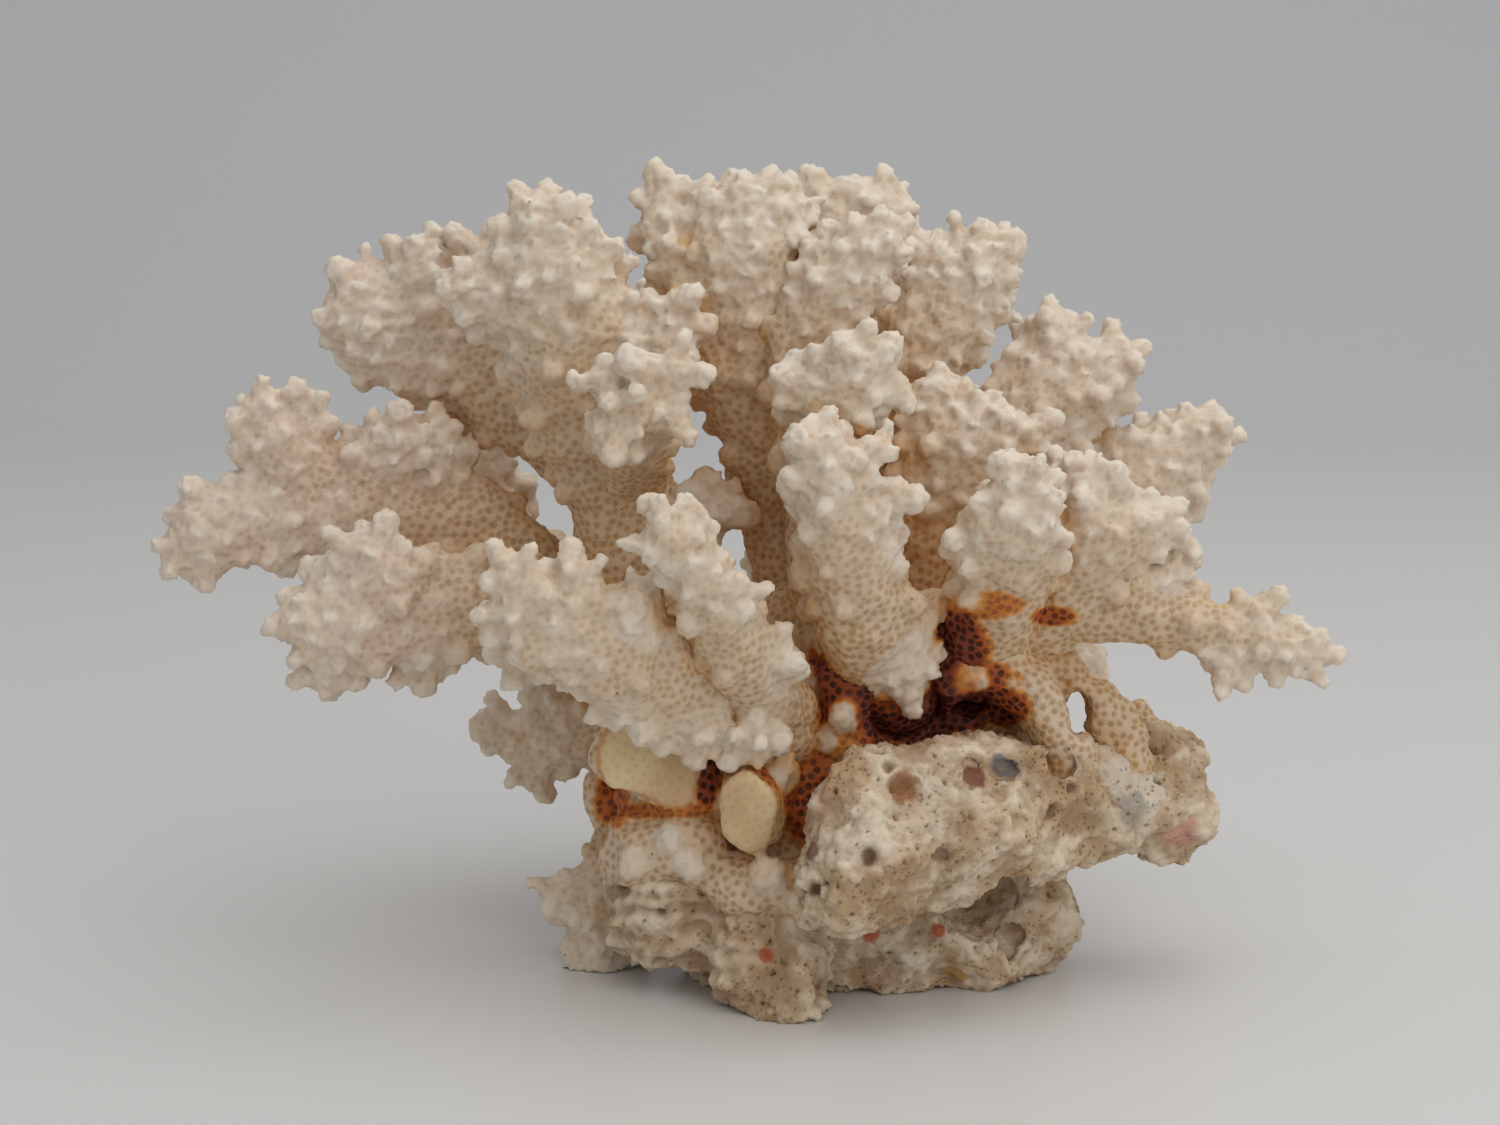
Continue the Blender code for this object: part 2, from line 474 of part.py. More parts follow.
def cut(obj, cutter):
    """Take one object's volume out of another."""
    if shared_volume(obj, cutter) > 0.0:
        take_mesh(obj, cut_mesh(obj, cutter)[0])


def cut_back(obj, other, cutters):
    """Cut an object back from its neighbour, by another gap where the first one doesn't give a sound body."""
    if not overlap(obj, other):
        return
    whole = obj.data.copy()
    for gap in GAPS:
        clear = swollen_copy(other, gap, cutters)
        if shared_volume(obj, clear) <= 0.0:
            return
        mesh, good = cut_mesh(obj, clear)
        take_mesh(obj, mesh)
        if good and shared_volume(obj, other) < LEAST_OVERLAP:
            return
        if gap != GAPS[-1]:
            take_mesh(obj, whole.copy())


def keep_largest_piece(bm):
    """Delete all but the largest of a mesh's separate pieces."""
    unseen = set(bm.verts)
    pieces = []
    while unseen:
        stack = [unseen.pop()]
        piece = list(stack)
        while stack:
            for edge in stack.pop().link_edges:
                for vert in edge.verts:
                    if vert in unseen:
                        unseen.remove(vert)
                        stack.append(vert)
                        piece.append(vert)
        pieces.append(piece)
    pieces.sort(key=len)
    spare = [vert for piece in pieces[:-1] for vert in piece]
    bmesh.ops.delete(bm, geom=spare, context="VERTS")


def clean(obj):
    """Leave one closed piece of triangles, with slivers merged as far as it stays sound."""
    for merge, flat in CLEANING:
        bm = bmesh.new()
        bm.from_mesh(obj.data)
        if merge:
            bmesh.ops.remove_doubles(bm, verts=bm.verts, dist=merge * MM)
            bmesh.ops.dissolve_degenerate(bm, dist=0.5 * merge * MM, edges=bm.edges)
        if flat:
            bmesh.ops.dissolve_limit(bm, angle_limit=flat, verts=bm.verts, edges=bm.edges)
        bmesh.ops.triangulate(bm, faces=bm.faces)
        keep_largest_piece(bm)
        sound = is_sound(bm)
        if sound or (merge, flat) == CLEANING[-1]:
            bm.to_mesh(obj.data)
        bm.free()
        if sound:
            return


def limb_length(limbs):
    """Add up the lengths of a node's limbs, in mm."""
    total = 0.0
    for limb in limbs:
        for first, last in zip(limb, limb[1:]):
            total += (at(*last[:3]) - at(*first[:3])).length
    return total


def grow(name, limbs, group, cutters, order):
    """Make a node's rough body: its limbs and large knobs in one skin of few faces."""
    rng = np.random.default_rng(SEED + order)
    balls = balls_of(limbs)
    bm = bmesh.new()
    for centre, frame, radii, _ in balls:
        add_ball(bm, centre, frame, radii)
    if name not in TRIANGLES:
        for knob in knobs_of(balls, rng, KNOB_SPACING, KNOBS_FROM):
            length = KNOB_LENGTH[0] + (KNOB_LENGTH[1] - KNOB_LENGTH[0]) * knob[2] * knob[3]
            add_knob(bm, knob, KNOB_RADIUS, length)
    mesh = bpy.data.meshes.new(name)
    bm.to_mesh(mesh)
    bm.free()
    obj = new_object(name, mesh, group)
    add_skin(obj)
    if name in ROCK:
        add_lumps(obj)
        add_skin(obj)
    bake(obj)
    if name in HOLLOWS:
        cut(obj, hollows_of(name, cutters))
    thin_out(obj, TRIANGLES.get(name, TRIANGLES_PER_MM * limb_length(limbs) + LEAST_TRIANGLES))
    return obj


def add_skin(obj):
    """Join all that an object holds in one closed skin."""
    skin = obj.modifiers.new("skin", "REMESH")
    skin.mode = "VOXEL"
    skin.voxel_size = VOXEL * MM


def add_lumps(obj):
    """Give the rubble its lumps and dents."""
    clouds = bpy.data.textures.new("lumps", "CLOUDS")
    clouds.noise_scale = ROCK_LUMPS[0] * MM
    clouds.noise_depth = 2
    lumps = obj.modifiers.new("lumps", "DISPLACE")
    lumps.texture = clouds
    lumps.texture_coords = "LOCAL"
    lumps.strength = 2 * ROCK_LUMPS[1] * MM
    lumps.mid_level = 0.5


def thin_out(obj, triangles):
    """Bring a skin down to a number of triangles, or to a few more where that leaves no sound body."""
    bm = bmesh.new()
    bm.from_mesh(obj.data)
    bmesh.ops.triangulate(bm, faces=bm.faces)
    bm.to_mesh(obj.data)
    count = len(bm.faces)
    bm.free()
    whole = obj.data.copy()
    for extra in THINNING:
        take_mesh(obj, whole.copy())
        fewer = obj.modifiers.new("fewer", "DECIMATE")
        fewer.ratio = min(1.0, triangles * extra / count)
        bake(obj)
        if size_of(obj.data)[1]:
            break
    bpy.data.meshes.remove(whole)


def swollen_copy(obj, gap, group):
    """Copy an object, grown outwards by a gap in mm, to cut its neighbour with."""
    copy = new_object("clear_of_" + obj.name, obj.data.copy(), group)
    copy.hide_render = True
    copy.display_type = "WIRE"
    swell = copy.modifiers.new("swell", "DISPLACE")
    swell.strength = gap * MM
    swell.mid_level = 0.0
    bake(copy)
    return copy


def cutter(name, bm, group):
    """Make a mesh into an object that only cuts."""
    mesh = bpy.data.meshes.new(name)
    bm.to_mesh(mesh)
    bm.free()
    obj = new_object(name, mesh, group)
    obj.hide_render = True
    obj.display_type = "WIRE"
    return obj


def hollows_of(name, group):
    """Make the rounded cutters of a node's hollows."""
    bm = bmesh.new()
    for x, z, depth, wide, high, deep in HOLLOWS[name]:
        add_ball(bm, at(x, z, depth), np.eye(3), (wide, deep, high))
    return cutter("hollows_of_" + name, bm, group)


def block(name, matrix, size, group):
    """Make a box cutter of a size in metres."""
    bm = bmesh.new()
    bmesh.ops.create_cube(bm, size=1.0, matrix=matrix @ Matrix.Diagonal((*size, 1.0)))
    return cutter(name, bm, group)


def break_off(obj, cutters):
    """Cut a node's flat broken faces."""
    for spot, looks, size in BREAKS.get(obj.name, ()):
        facing = Vector(looks).normalized()
        turn = facing.to_track_quat("Z", "Y").to_matrix().to_4x4()
        where = Matrix.Translation((at(*spot) + facing * size) * MM)
        cut(obj, block("break", where @ turn, [2 * size * MM] * 3, cutters))


def overlap(one, other):
    """Say whether two objects' boxes touch."""
    boxes = []
    for obj in (one, other):
        spots = np.array([vert.co for vert in obj.data.vertices])
        boxes.append((spots.min(0), spots.max(0)))
    margin = 2 * GAPS[-1] * MM
    return bool(np.all(boxes[0][0] < boxes[1][1] + margin) and np.all(boxes[1][0] < boxes[0][1] + margin))


def colour(obj):
    """Give a node its own material."""
    made = bpy.data.materials.new(obj.name)
    made.use_nodes = True
    shader = made.node_tree.nodes["Principled BSDF"]
    shader.inputs["Base Color"].default_value = TINTS.get(obj.name, TAN)
    shader.inputs["Roughness"].default_value = STONE_ROUGHNESS if obj.name in ROCK else CORAL_ROUGHNESS
    shader.inputs["Metallic"].default_value = METALLIC
    obj.data.materials.clear()
    obj.data.materials.append(made)


def main():
    """Build every node in turn, each one cut back from those made before it."""
    for obj in list(bpy.data.objects):
        bpy.data.objects.remove(obj)
    parts = bpy.data.collections.new("coral_specimen")
    cutters = bpy.data.collections.new("cutters")
    bpy.context.scene.collection.children.link(parts)
    bpy.context.scene.collection.children.link(cutters)
    below = Matrix.Translation((0.0, 0.0, -0.5 * GROUND[2]))
    ground = block("ground", below, GROUND, cutters)
    done = []
    for order, (name, limbs) in enumerate({**ROCK, **COLONY}.items()):
        obj = grow(name, limbs, parts, cutters, order)
        break_off(obj, cutters)
        if min(vert.co.z for vert in obj.data.vertices) < LOW * MM:
            cut(obj, ground)
        for other in done:
            cut_back(obj, other, cutters)
        clean(obj)
        colour(obj)
        done.append(obj)


if __name__ == "__main__":
    main()
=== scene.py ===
"""Looks of the cauliflower coral specimen: a fine skin over every limb, and the rubble that it grew on.

Lengths inside the classes are millimetres on the same front drawing as the solids use: x to the right,
z up, and a depth behind the drawing. Meshes are in metres.
"""

from __future__ import annotations

import logging
import math
from dataclasses import dataclass, field
from enum import Enum

import bmesh
import bpy
import numpy as np
from mathutils import Matrix, Vector, noise
from mathutils.bvhtree import BVHTree
from mathutils.kdtree import KDTree


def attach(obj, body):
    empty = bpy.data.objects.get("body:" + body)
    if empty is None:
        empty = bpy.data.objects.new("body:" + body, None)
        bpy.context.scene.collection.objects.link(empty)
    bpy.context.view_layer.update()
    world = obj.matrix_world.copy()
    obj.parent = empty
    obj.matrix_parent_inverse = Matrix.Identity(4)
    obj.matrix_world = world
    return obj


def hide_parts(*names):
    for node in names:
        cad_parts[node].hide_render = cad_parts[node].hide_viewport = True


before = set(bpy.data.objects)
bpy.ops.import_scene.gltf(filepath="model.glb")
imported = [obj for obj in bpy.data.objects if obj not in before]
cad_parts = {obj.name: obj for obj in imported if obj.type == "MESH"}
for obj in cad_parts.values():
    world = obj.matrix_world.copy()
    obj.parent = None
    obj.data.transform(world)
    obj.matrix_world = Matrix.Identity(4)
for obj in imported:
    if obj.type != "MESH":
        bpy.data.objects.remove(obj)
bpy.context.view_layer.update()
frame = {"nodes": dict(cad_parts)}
LOG = logging.getLogger("coral_specimen")

MM = 0.001
EYE = Vector((0.0, -443.0, 132.0))
TOWARDS_VIEWER = Vector((0.0, -1.0, 0.17))
AIM = Vector((0.0, 0.0, 53.6))
LENS_MM = 84.4
SEED = 11
Station = tuple[float, float, float, float, float]

# Each limb is a list of stations: x, z, depth, half width, half thickness, all in mm.
ROCK = {
    "rubble_base": [
        [(4, 5, -14, 9, 8), (3, -1, -17, 8, 7), (4, -4, -19, 6.5, 6)],
        [(-10, 9, -8, 9, 9), (0, 8, -4, 12, 12), (14, 7, 0, 14, 14), (27, 6, 0, 13, 13), (34, 7, 2, 8, 10)],
        [(26, 4, 2, 12, 11), (24, -1, 2, 9, 9)],
        [(14, 8, 10, 14, 10), (16, 2, 17, 10, 8)],
        [(14, 12, -27, 7.5, 7.5), (20, 17, -22, 9, 9), (31, 21, -14, 9.5, 9), (43, 21, -6, 8.5, 9),
         (52.5, 21, -1, 6, 9)],
        [(12.5, 20, -25, 5.5, 6), (17, 23.6, -23, 6, 6.5), (24.5, 25, -18, 6, 7)],
        [(47, 29, 2, 4, 4), (54, 27, 1, 4.5, 6), (55, 19, 1, 3.5, 5)],
        [(4, 17, 2, 15, 13), (22, 19, 2, 15, 12), (36, 22, 3, 9, 9)],
        [(32, 14, 2, 8, 10), (37, 9, 0, 5, 7)],
    ],
}
COLONY = {
    "colony_foot": [
        [(6, 22, 0, 17, 13), (8, 30, 2, 17, 13), (12, 38, 5, 17, 12), (14, 44, 8, 13, 10)],
        [(-8, 22, -4, 9, 9), (-6, 30, 2, 9, 10)],
        [(-4, 24, -7, 6, 6), (-10, 27, -11, 6, 6.5), (-15.6, 28.6, -13, 4.6, 5)],
        [(2, 24, -8, 5, 5), (0, 21, -20, 3.6, 5.5)],
        [(-14.5, 15.5, -11, 5.2, 5), (-8, 16, -12.5, 5.4, 5)],
        [(-1, 10.5, -15, 4.6, 4.5), (7, 9.6, -17, 4.6, 4.5)],
        [(-18, 21, 2, 3.5, 3.5), (-19.5, 24, 2, 1.6, 2)],
        [(24, 34, 6, 11, 9), (32, 38, 2, 7, 6)],
        [(15, 46, -5, 5, 5), (13.6, 38, -8, 5, 5), (13, 31, -8, 4.6, 4.6)],
        [(25, 45, -5, 5, 5), (26, 38, -6, 4.2, 4.6)],
        [(31, 42, -6, 5, 5), (36, 37, -8, 4, 4), (39, 32, -9, 3.4, 3.4), (41, 27, -9, 4, 4)],
        [(38, 41, -2, 3.5, 3.5), (44, 36, -3, 3.2, 3.2), (48, 30, -4, 3.2, 3.2), (49, 25, -4, 3.6, 4)],
        [(50, 33, 4, 2.5, 2.5), (54, 29, 4, 3, 3)],
    ],
    "left_foot": [
        [(-12, 22, 8, 6, 5), (-17, 13, 4, 5, 5), (-19, 5, 2, 4.6, 4.6), (-19, 1, 1, 4.4, 4.4)],
        [(-20, 10, 3, 3, 3), (-25.5, 9.5, 3, 1.6, 1.8)],
    ],
    "upper_left_limb": [
        [(-10, 42, 4, 8, 7), (-15, 52, 4, 6.6, 5.6), (-16.6, 62, 2, 6.6, 5.2), (-20, 73, 0, 8.5, 5.5),
         (-22, 83, -3, 9, 6), (-25, 91, -5, 7, 5), (-26, 97, -5, 4, 3.8)],
        [(-24, 83, -3, 6, 5), (-32, 88, -4, 4.5, 4), (-35, 89, -5, 3.4, 3.4)],
        [(-21, 85, -3, 6, 5), (-19.6, 91, -4, 3.4, 4)],
        [(-18, 76, -1, 6, 5), (-11.6, 81, -4, 4.8, 4.2), (-9.5, 84, -5, 3.4, 3.4)],
        [(-12, 58, 3, 4.8, 4.6), (-6.5, 60.5, 2, 3.6, 3.6), (-3.4, 60, 2, 2.6, 2.6)],
    ],
    "outer_left_limb": [
        [(-15, 62, 8, 6, 5.5), (-24, 71.5, 11, 6.8, 5), (-34, 79, 13, 8, 5), (-44, 84, 13, 8.5, 4.5),
         (-49, 86, 12, 6, 4)],
        [(-40, 85, 13, 6, 4.5), (-41.5, 91.5, 13, 4, 3.6)],
        [(-34, 84, 12, 4, 4), (-34.8, 93, 12, 2.2, 2.4)],
    ],
    "front_star": [
        [(-15, 64, 2, 4.6, 4.2), (-15, 69, -9, 4.4, 4), (-15, 73, -18, 4.4, 3.6)],
        [(-15, 74, -18, 2.6, 2.6), (-19, 77, -19, 1.6, 1.6)],
        [(-14, 74, -18, 2.6, 2.6), (-14, 78.5, -20, 1.5, 1.5)],
        [(-13, 75, -18, 2.6, 2.6), (-9.8, 79, -19, 1.8, 1.8)],
        [(-13, 73, -18, 3, 3), (-9.4, 72.5, -19, 1.6, 1.6)],
        [(-16, 71, -19, 3, 3), (-17, 68.6, -20, 1.8, 1.8)],
    ],
    "left_arm": [
        [(-10, 42, 6, 7, 6), (-26, 50.6, 8, 5.4, 4), (-38, 59, 8, 7.5, 4), (-50, 62, 6, 8, 4),
         (-61, 60, 4, 6.5, 3.5), (-70, 58, 2, 4.8, 3)],
        [(-56, 64, 5, 5, 3.8), (-61, 70, 4, 4.4, 3.2), (-62, 73, 4, 3, 2.8)],
        [(-57, 68, 5, 4, 3), (-56.5, 74.5, 5, 1.8, 1.8)],
        [(-48, 65, 6, 5, 3.8), (-45, 69.5, 5, 4, 3)],
        [(-40, 63, 8, 5, 3.8), (-40, 69.5, 8, 3, 2.8)],
        [(-65, 58, 3, 5, 3), (-73, 54, 2, 2.4, 2.4)],
    ],
    "left_lobe": [
        [(-12, 40, 0, 7, 6), (-28, 47, -2, 6, 4.5), (-40, 48, -6, 7, 4), (-50, 47.5, -9, 7.5, 4),
         (-56, 46, -10, 4.5, 3.5)],
        [(-46, 50, -9, 5, 4), (-49, 55, -10, 3.4, 3)],
        [(-48, 45, -8, 5, 4), (-54, 39.5, -7, 3.4, 3)],
        [(-40, 45, -5, 5, 4), (-43, 41.5, -5, 3, 3)],
    ],
    "top_limb": [
        [(7, 46, 9, 6.5, 6), (5.2, 55, 8.5, 5.4, 5), (3.6, 63, 8, 6.4, 5), (2.6, 71, 6.6, 6.6, 5.2),
         (0.6, 78, 5.4, 8.6, 5.6), (-1, 86, 4, 8.5, 6), (-1, 93.4, 2, 6.8, 5.5), (-0.5, 99, 2, 4, 4)],
        [(-3, 80, 4, 6, 5), (-8, 89, 4, 4, 4.2), (-10.6, 95.6, 4, 3.2, 3.4), (-10.8, 100.4, 4, 2.4, 2.6)],
        [(-4, 94, 3, 4, 4), (-6, 100, 3, 2, 2.2)],
        [(2, 92, 3, 5, 4.5), (5, 98, 3, 3, 3)],
    ],
    "top_back_limb": [
        [(12, 48, 20, 7, 6), (17, 68, 22, 5.6, 5), (18.4, 84, 24, 4.8, 4.6), (14, 96.5, 25, 7, 5)],
        [(9, 92, 24, 4, 4), (9, 100, 24, 2.6, 3)],
    ],
    "top_right_limb": [
        [(11, 50, 6, 6.5, 6), (8.4, 68, 3.4, 5.6, 5), (6.6, 82, 0.6, 5, 5), (11.4, 90, -0.6, 5.5, 5),
         (16, 94.5, -1, 3.4, 3.6)],
        [(12, 90, 0, 3.6, 3.6), (12, 95, -1, 2, 2.4)],
    ],
    "right_upper_limb": [
        [(15, 50, 10, 8, 6), (17, 68, 11, 7, 5), (19.6, 78, 11, 5.6, 5.2), (25, 86, 11, 6.2, 5.5),
         (29, 91.5, 11, 4.8, 4.8)],
        [(21, 84, 10, 4, 4), (22.5, 92.5, 10, 2.2, 2.6)],
        [(26, 85, 11, 4, 4), (31.4, 86, 11, 1.8, 2)],
    ],
    "right_back_limb": [
        [(20, 46, 17, 8, 6), (27, 62, 22, 7, 5), (33.4, 71, 26, 6.4, 5), (37.2, 78, 28, 5.2, 5),
         (38, 82.6, 28, 3.8, 4)],
        [(37, 73, 27, 5.6, 5), (43, 76.6, 28, 5, 4.6), (46, 79.4, 28, 3.4, 3.4)],
        [(36, 71, 26, 4, 4), (40.5, 69.6, 26, 2, 2)],
    ],
    "far_right_limb": [
        [(24, 42, 17, 7, 6), (36, 53, 24, 6.5, 5), (46, 61, 29, 6.5, 5), (52, 66, 31, 6, 5),
         (57, 69.5, 31, 4, 4)],
        [(48, 65, 30, 4, 4), (46, 69, 30, 2.4, 2.8)],
        [(51, 62, 30, 4, 4), (56, 61.5, 30, 2, 2.4)],
    ],
    "front_fan": [
        [(11, 50, -2, 6, 5), (10, 66, -9, 5.4, 4.5), (10.5, 74, -14, 5.4, 4), (13.6, 79, -16, 3.4, 3.2)],
        [(13, 77, -15, 3, 3), (17, 81.4, -16, 1.5, 1.5)],
        [(12, 75, -14, 4, 3.4), (18, 77, -15, 1.7, 1.7)],
        [(8, 75, -14, 3.2, 3), (7.2, 79.4, -15, 1.6, 1.8)],
        [(11, 73, -14, 3.4, 3), (14.6, 72.4, -16, 1.7, 1.7)],
        [(8, 74, -14, 3, 3), (5.2, 76.4, -15, 1.6, 1.6)],
    ],
    "front_column": [
        [(18, 38, -4, 7, 7), (14.4, 47, -13, 6.6, 6), (11.8, 58, -19, 5.4, 5.6), (9.8, 65.4, -22, 4.4, 4.6),
         (9, 68.4, -23, 3.4, 3.6)],
        [(12.6, 66, -21, 3, 3), (16.4, 68.4, -21, 1.4, 1.6)],
        [(13, 61, -20, 3.6, 3.6), (17.6, 62.2, -20, 1.5, 1.6)],
        [(14, 56, -18, 3.8, 3.8), (18, 58, -18, 1.5, 1.8)],
        [(18, 45, -10, 6, 5), (20.5, 39, -12, 2.6, 3)],
    ],
    "right_mid_fan": [
        [(23, 41, 3, 6, 6), (23, 52, 2, 5.5, 4.6), (24.5, 62, 1, 7, 4.6), (27, 68.5, 0, 7, 4.4),
         (29, 71.5, 0, 4, 4)],
        [(22, 68, 1, 3.4, 3.4), (21, 75, 0, 1.7, 1.8)],
        [(24, 70, 0, 3.4, 3.4), (24, 76, 0, 1.9, 2)],
        [(30, 68, 0, 4, 4), (34.6, 70.6, 0, 2.2, 2.6)],
    ],
    "right_front_plate": [
        [(28.5, 41, -4, 5.5, 5.5), (32, 50, -13, 6, 4.4), (33.5, 58, -18, 6.2, 4.2),
         (35, 63.5, -19, 3.4, 3.4)],
        [(30, 54, -16, 3.4, 3.4), (26.6, 56.4, -17, 1.8, 2)],
    ],
    "right_arm": [
        [(42.6, 46.6, -6.6, 3.4, 3.8), (50, 48, -8, 4.8, 4.4),
         (58, 45.2, -9, 3.6, 3.8), (66, 43.4, -10, 3.4, 3.2), (72.4, 41.4, -10, 2.2, 2.4)],
        [(50, 49, -8, 4.4, 4), (53.5, 52.6, -8, 3, 3)],
        [(60, 44, -9, 3, 3), (61.4, 39.8, -11, 2, 2.2)],
        [(64, 44.6, -10, 2.6, 2.6), (65, 46.8, -10, 2, 2.2)],
    ],
    "right_fan": [
        [(32, 42, 0, 6, 6), (41, 51, -7, 6.5, 5), (44, 58, -10, 6.2, 5), (42, 63.5, -10, 3.6, 4)],
        [(46, 56, -9, 4.6, 4), (51.5, 58.5, -9, 3, 3), (54.6, 57, -9, 1.9, 2)],
        [(45, 58, -10, 3, 3), (46.6, 63, -11, 1.4, 1.6)],
        [(47, 58, -10, 3, 3), (49.2, 61.6, -10, 1.5, 1.6)],
    ],
    "front_left_fan": [
        [(2, 34, -8, 7, 6), (-8, 37, -19, 7, 4.4), (-16, 41, -24, 6.6, 4), (-24, 46, -26, 6, 3.8),
         (-29.5, 48.5, -27, 4, 3.2)],
        [(-12, 42, -22, 4.4, 3.8), (-15, 48, -25, 3.2, 3.2)],
        [(-21, 48, -26, 3.6, 3.2), (-23, 53.4, -27, 2, 2.2)],
        [(-27, 49, -27, 3, 3), (-30.4, 52.6, -28, 1.8, 2)],
        [(-27, 46, -26, 3.4, 3), (-33, 45.4, -26, 1.7, 2)],
        [(-12, 36, -21, 4.6, 3.6), (-17, 35.6, -22, 2.8, 2.8)],
        [(-7, 34, -19, 5, 3.6), (-7, 31.4, -20, 4, 2.8)],
        [(-22, 44, -22, 3.6, 3), (-29.6, 41, -20, 2.4, 2.4)],
    ],
    "front_finger": [
        [(4, 32, -8, 6, 6), (-1, 41, -21, 4.8, 4.4), (-5, 49, -26, 4.2, 4), (-8, 54, -29, 3.2, 3.4),
         (-10.5, 57, -30, 3, 3)],
        [(-10, 57, -30, 2.4, 2.4), (-13.6, 56, -30, 1.6, 1.8)],
        [(-10, 57, -30, 2.2, 2.2), (-12, 60.6, -31, 1.5, 1.6)],
        [(-9, 57, -30, 2, 2), (-7, 60, -30, 1.4, 1.5)],
        [(0, 33, -14, 4.4, 4), (0, 30.4, -20, 3.4, 3)],
        [(2, 36, -16, 3.6, 3.4), (3.8, 42, -21, 1.9, 2)],
        [(-3, 46, -25, 3.4, 3.2), (-0.8, 49.6, -26, 1.8, 2)],
    ],
    "low_left_branch": [
        [(-9, 31.6, 5, 6.6, 6), (-18, 33, 9, 6, 3.4), (-25, 31, 11, 4.6, 3), (-29.5, 29.6, 12, 3, 2.4)],
        [(-29, 30.5, 12, 2.2, 2), (-34.6, 31.4, 12, 1.3, 1.4)],
        [(-29, 31, 12, 2.2, 2), (-32, 33.8, 12, 1.3, 1.4)],
        [(-22, 34, 10, 3.4, 2.8), (-27.4, 38, 11, 1.9, 2)],
        [(-27, 29, 11, 2.6, 2.2), (-28.4, 26, 11, 1.6, 1.8)],
    ],
    "back_left_limb": [
        [(2, 37, 11, 7, 6), (-8, 40, 21, 6, 5), (-22, 46, 30, 5, 4.6), (-32, 56, 32, 4.8, 4.4),
         (-34, 66, 32, 4.4, 4), (-34, 70.6, 32, 3.2, 3.2)],
        [(-14, 43, 25, 5, 4.4), (-15.4, 54, 37, 4, 4), (-15, 61, 42, 3, 3)],
        [(-31, 56, 30, 4.4, 4), (-36, 61, 37, 3.4, 3.4)],
    ],
    "back_top_limb": [
        [(6, 42, 16, 7, 6), (6.6, 56, 31, 5.6, 5), (4.4, 71, 40, 5.8, 5), (2, 80, 43, 5, 4.6),
         (0, 85, 44, 3.4, 3.4)],
        [(4.6, 73, 40, 4.6, 4.2), (8, 79, 46, 3.6, 3.6), (9, 83, 48, 2.8, 2.8)],
        [(2, 79, 43, 4.6, 4.2), (-7, 83.4, 43, 3.8, 3.6), (-12.6, 85.6, 42, 2.8, 2.8)],
        [(5, 66, 38, 4.4, 4), (3, 68, 49, 3, 3)],
    ],
    "back_right_limb": [
        [(16, 42, 14, 8, 6), (22, 54, 30, 7, 5.2), (27, 64, 39, 6.4, 5), (31, 72, 43, 4.4, 4.2)],
        [(24, 58, 34, 5, 4.6), (20, 68, 42, 4.4, 4), (20, 74, 44, 3, 3)],
        [(26, 61, 38, 4.6, 4.4), (33, 62, 46, 3.4, 3.4)],
    ],
    "back_middle_limb": [
        [(10, 42, 18, 8, 6), (9, 48, 36, 6.6, 5), (8, 55, 48, 6, 4.6), (7, 61, 54, 4, 3.8)],
        [(9, 50, 40, 5, 4.4), (15, 57, 50, 4, 3.8), (17, 60, 54, 2.8, 2.8)],
        [(8, 53, 45, 4.4, 4), (2, 54, 54, 3.2, 3.2)],
    ],
    "low_back_left_limb": [
        [(0, 34, 10, 8, 7), (-6, 38, 28, 6.6, 4.8), (-13, 44, 38, 6, 4.4), (-17, 48, 42, 3.6, 3.6)],
        [(-7, 40, 32, 4.6, 4.4), (-4, 44, 44, 4, 3.8), (-2, 46, 49, 3, 3)],
        [(-10, 42, 35, 4.4, 4), (-18, 39, 38, 3.2, 3.2)],
    ],
    "low_back_right_limb": [
        [(22, 34, 8, 8, 7), (31, 38, 25, 6.4, 4.8), (38, 45, 34, 5.4, 4.4), (42, 50, 38, 3.4, 3.6)],
        [(32, 40, 28, 4.6, 4.4), (29, 46, 40, 4, 3.8), (28, 50, 44, 3, 3)],
        [(35, 41, 30, 4.4, 4), (43, 40, 34, 3, 3)],
    ],
    "low_back_middle_limb": [
        [(11, 34, 14, 7, 6.6), (10, 34, 32, 6, 5), (9, 38, 44, 5.6, 4.4), (8, 42, 49, 3.6, 3.6)],
        [(10, 35, 36, 4.6, 4.4), (17, 39, 45, 3.8, 3.6), (20, 42, 48, 2.8, 2.8)],
    ],
}

# Rounded hollows taken out of a node: x, z, depth, half width, half height, half depth, in mm.
HOLLOWS = {
    "rubble_base": [
        (30, 9, -14, 6.5, 5.5, 9), (46, 13, -6, 6, 3, 10), (20, 23.6, -31, 2.4, 1.8, 4),
        (23.4, 26, -30, 2.0, 1.5, 3), (28.8, 25.6, -25, 1.7, 1.3, 3), (33, 27.6, -22, 2.4, 2.4, 4),
        (40, 27, -14, 1.8, 2.4, 3.5), (13, 12.4, -36, 3.0, 3.0, 2.4), (-6, 5, -20, 3, 1.6, 3),
        (15, 0.5, -19, 3, 2.2, 6), (34, 3.6, -10, 1.8, 1.6, 3),
    ],
    "colony_foot": [(20.6, 33, -13, 5, 4.6, 14), (29, 33.4, -10, 3, 2.2, 12), (42.4, 34, -6, 1.7, 2.8, 9)],
}
# Flat broken faces: a point of the face as x, z, depth, and the way that the face looks.
BREAKS = {
    "colony_foot": [((-12.5, 27.5, -15.6), (-0.15, -1, 0.1), 8), ((0, 20.6, -21.4), (-0.1, -1, -0.12), 7)],
}


class Slot(Enum):
    """The material slots."""

    RUBBLE = "rubble"
    STAINED = "stained_coral"
    SKELETON = "coral_skeleton"


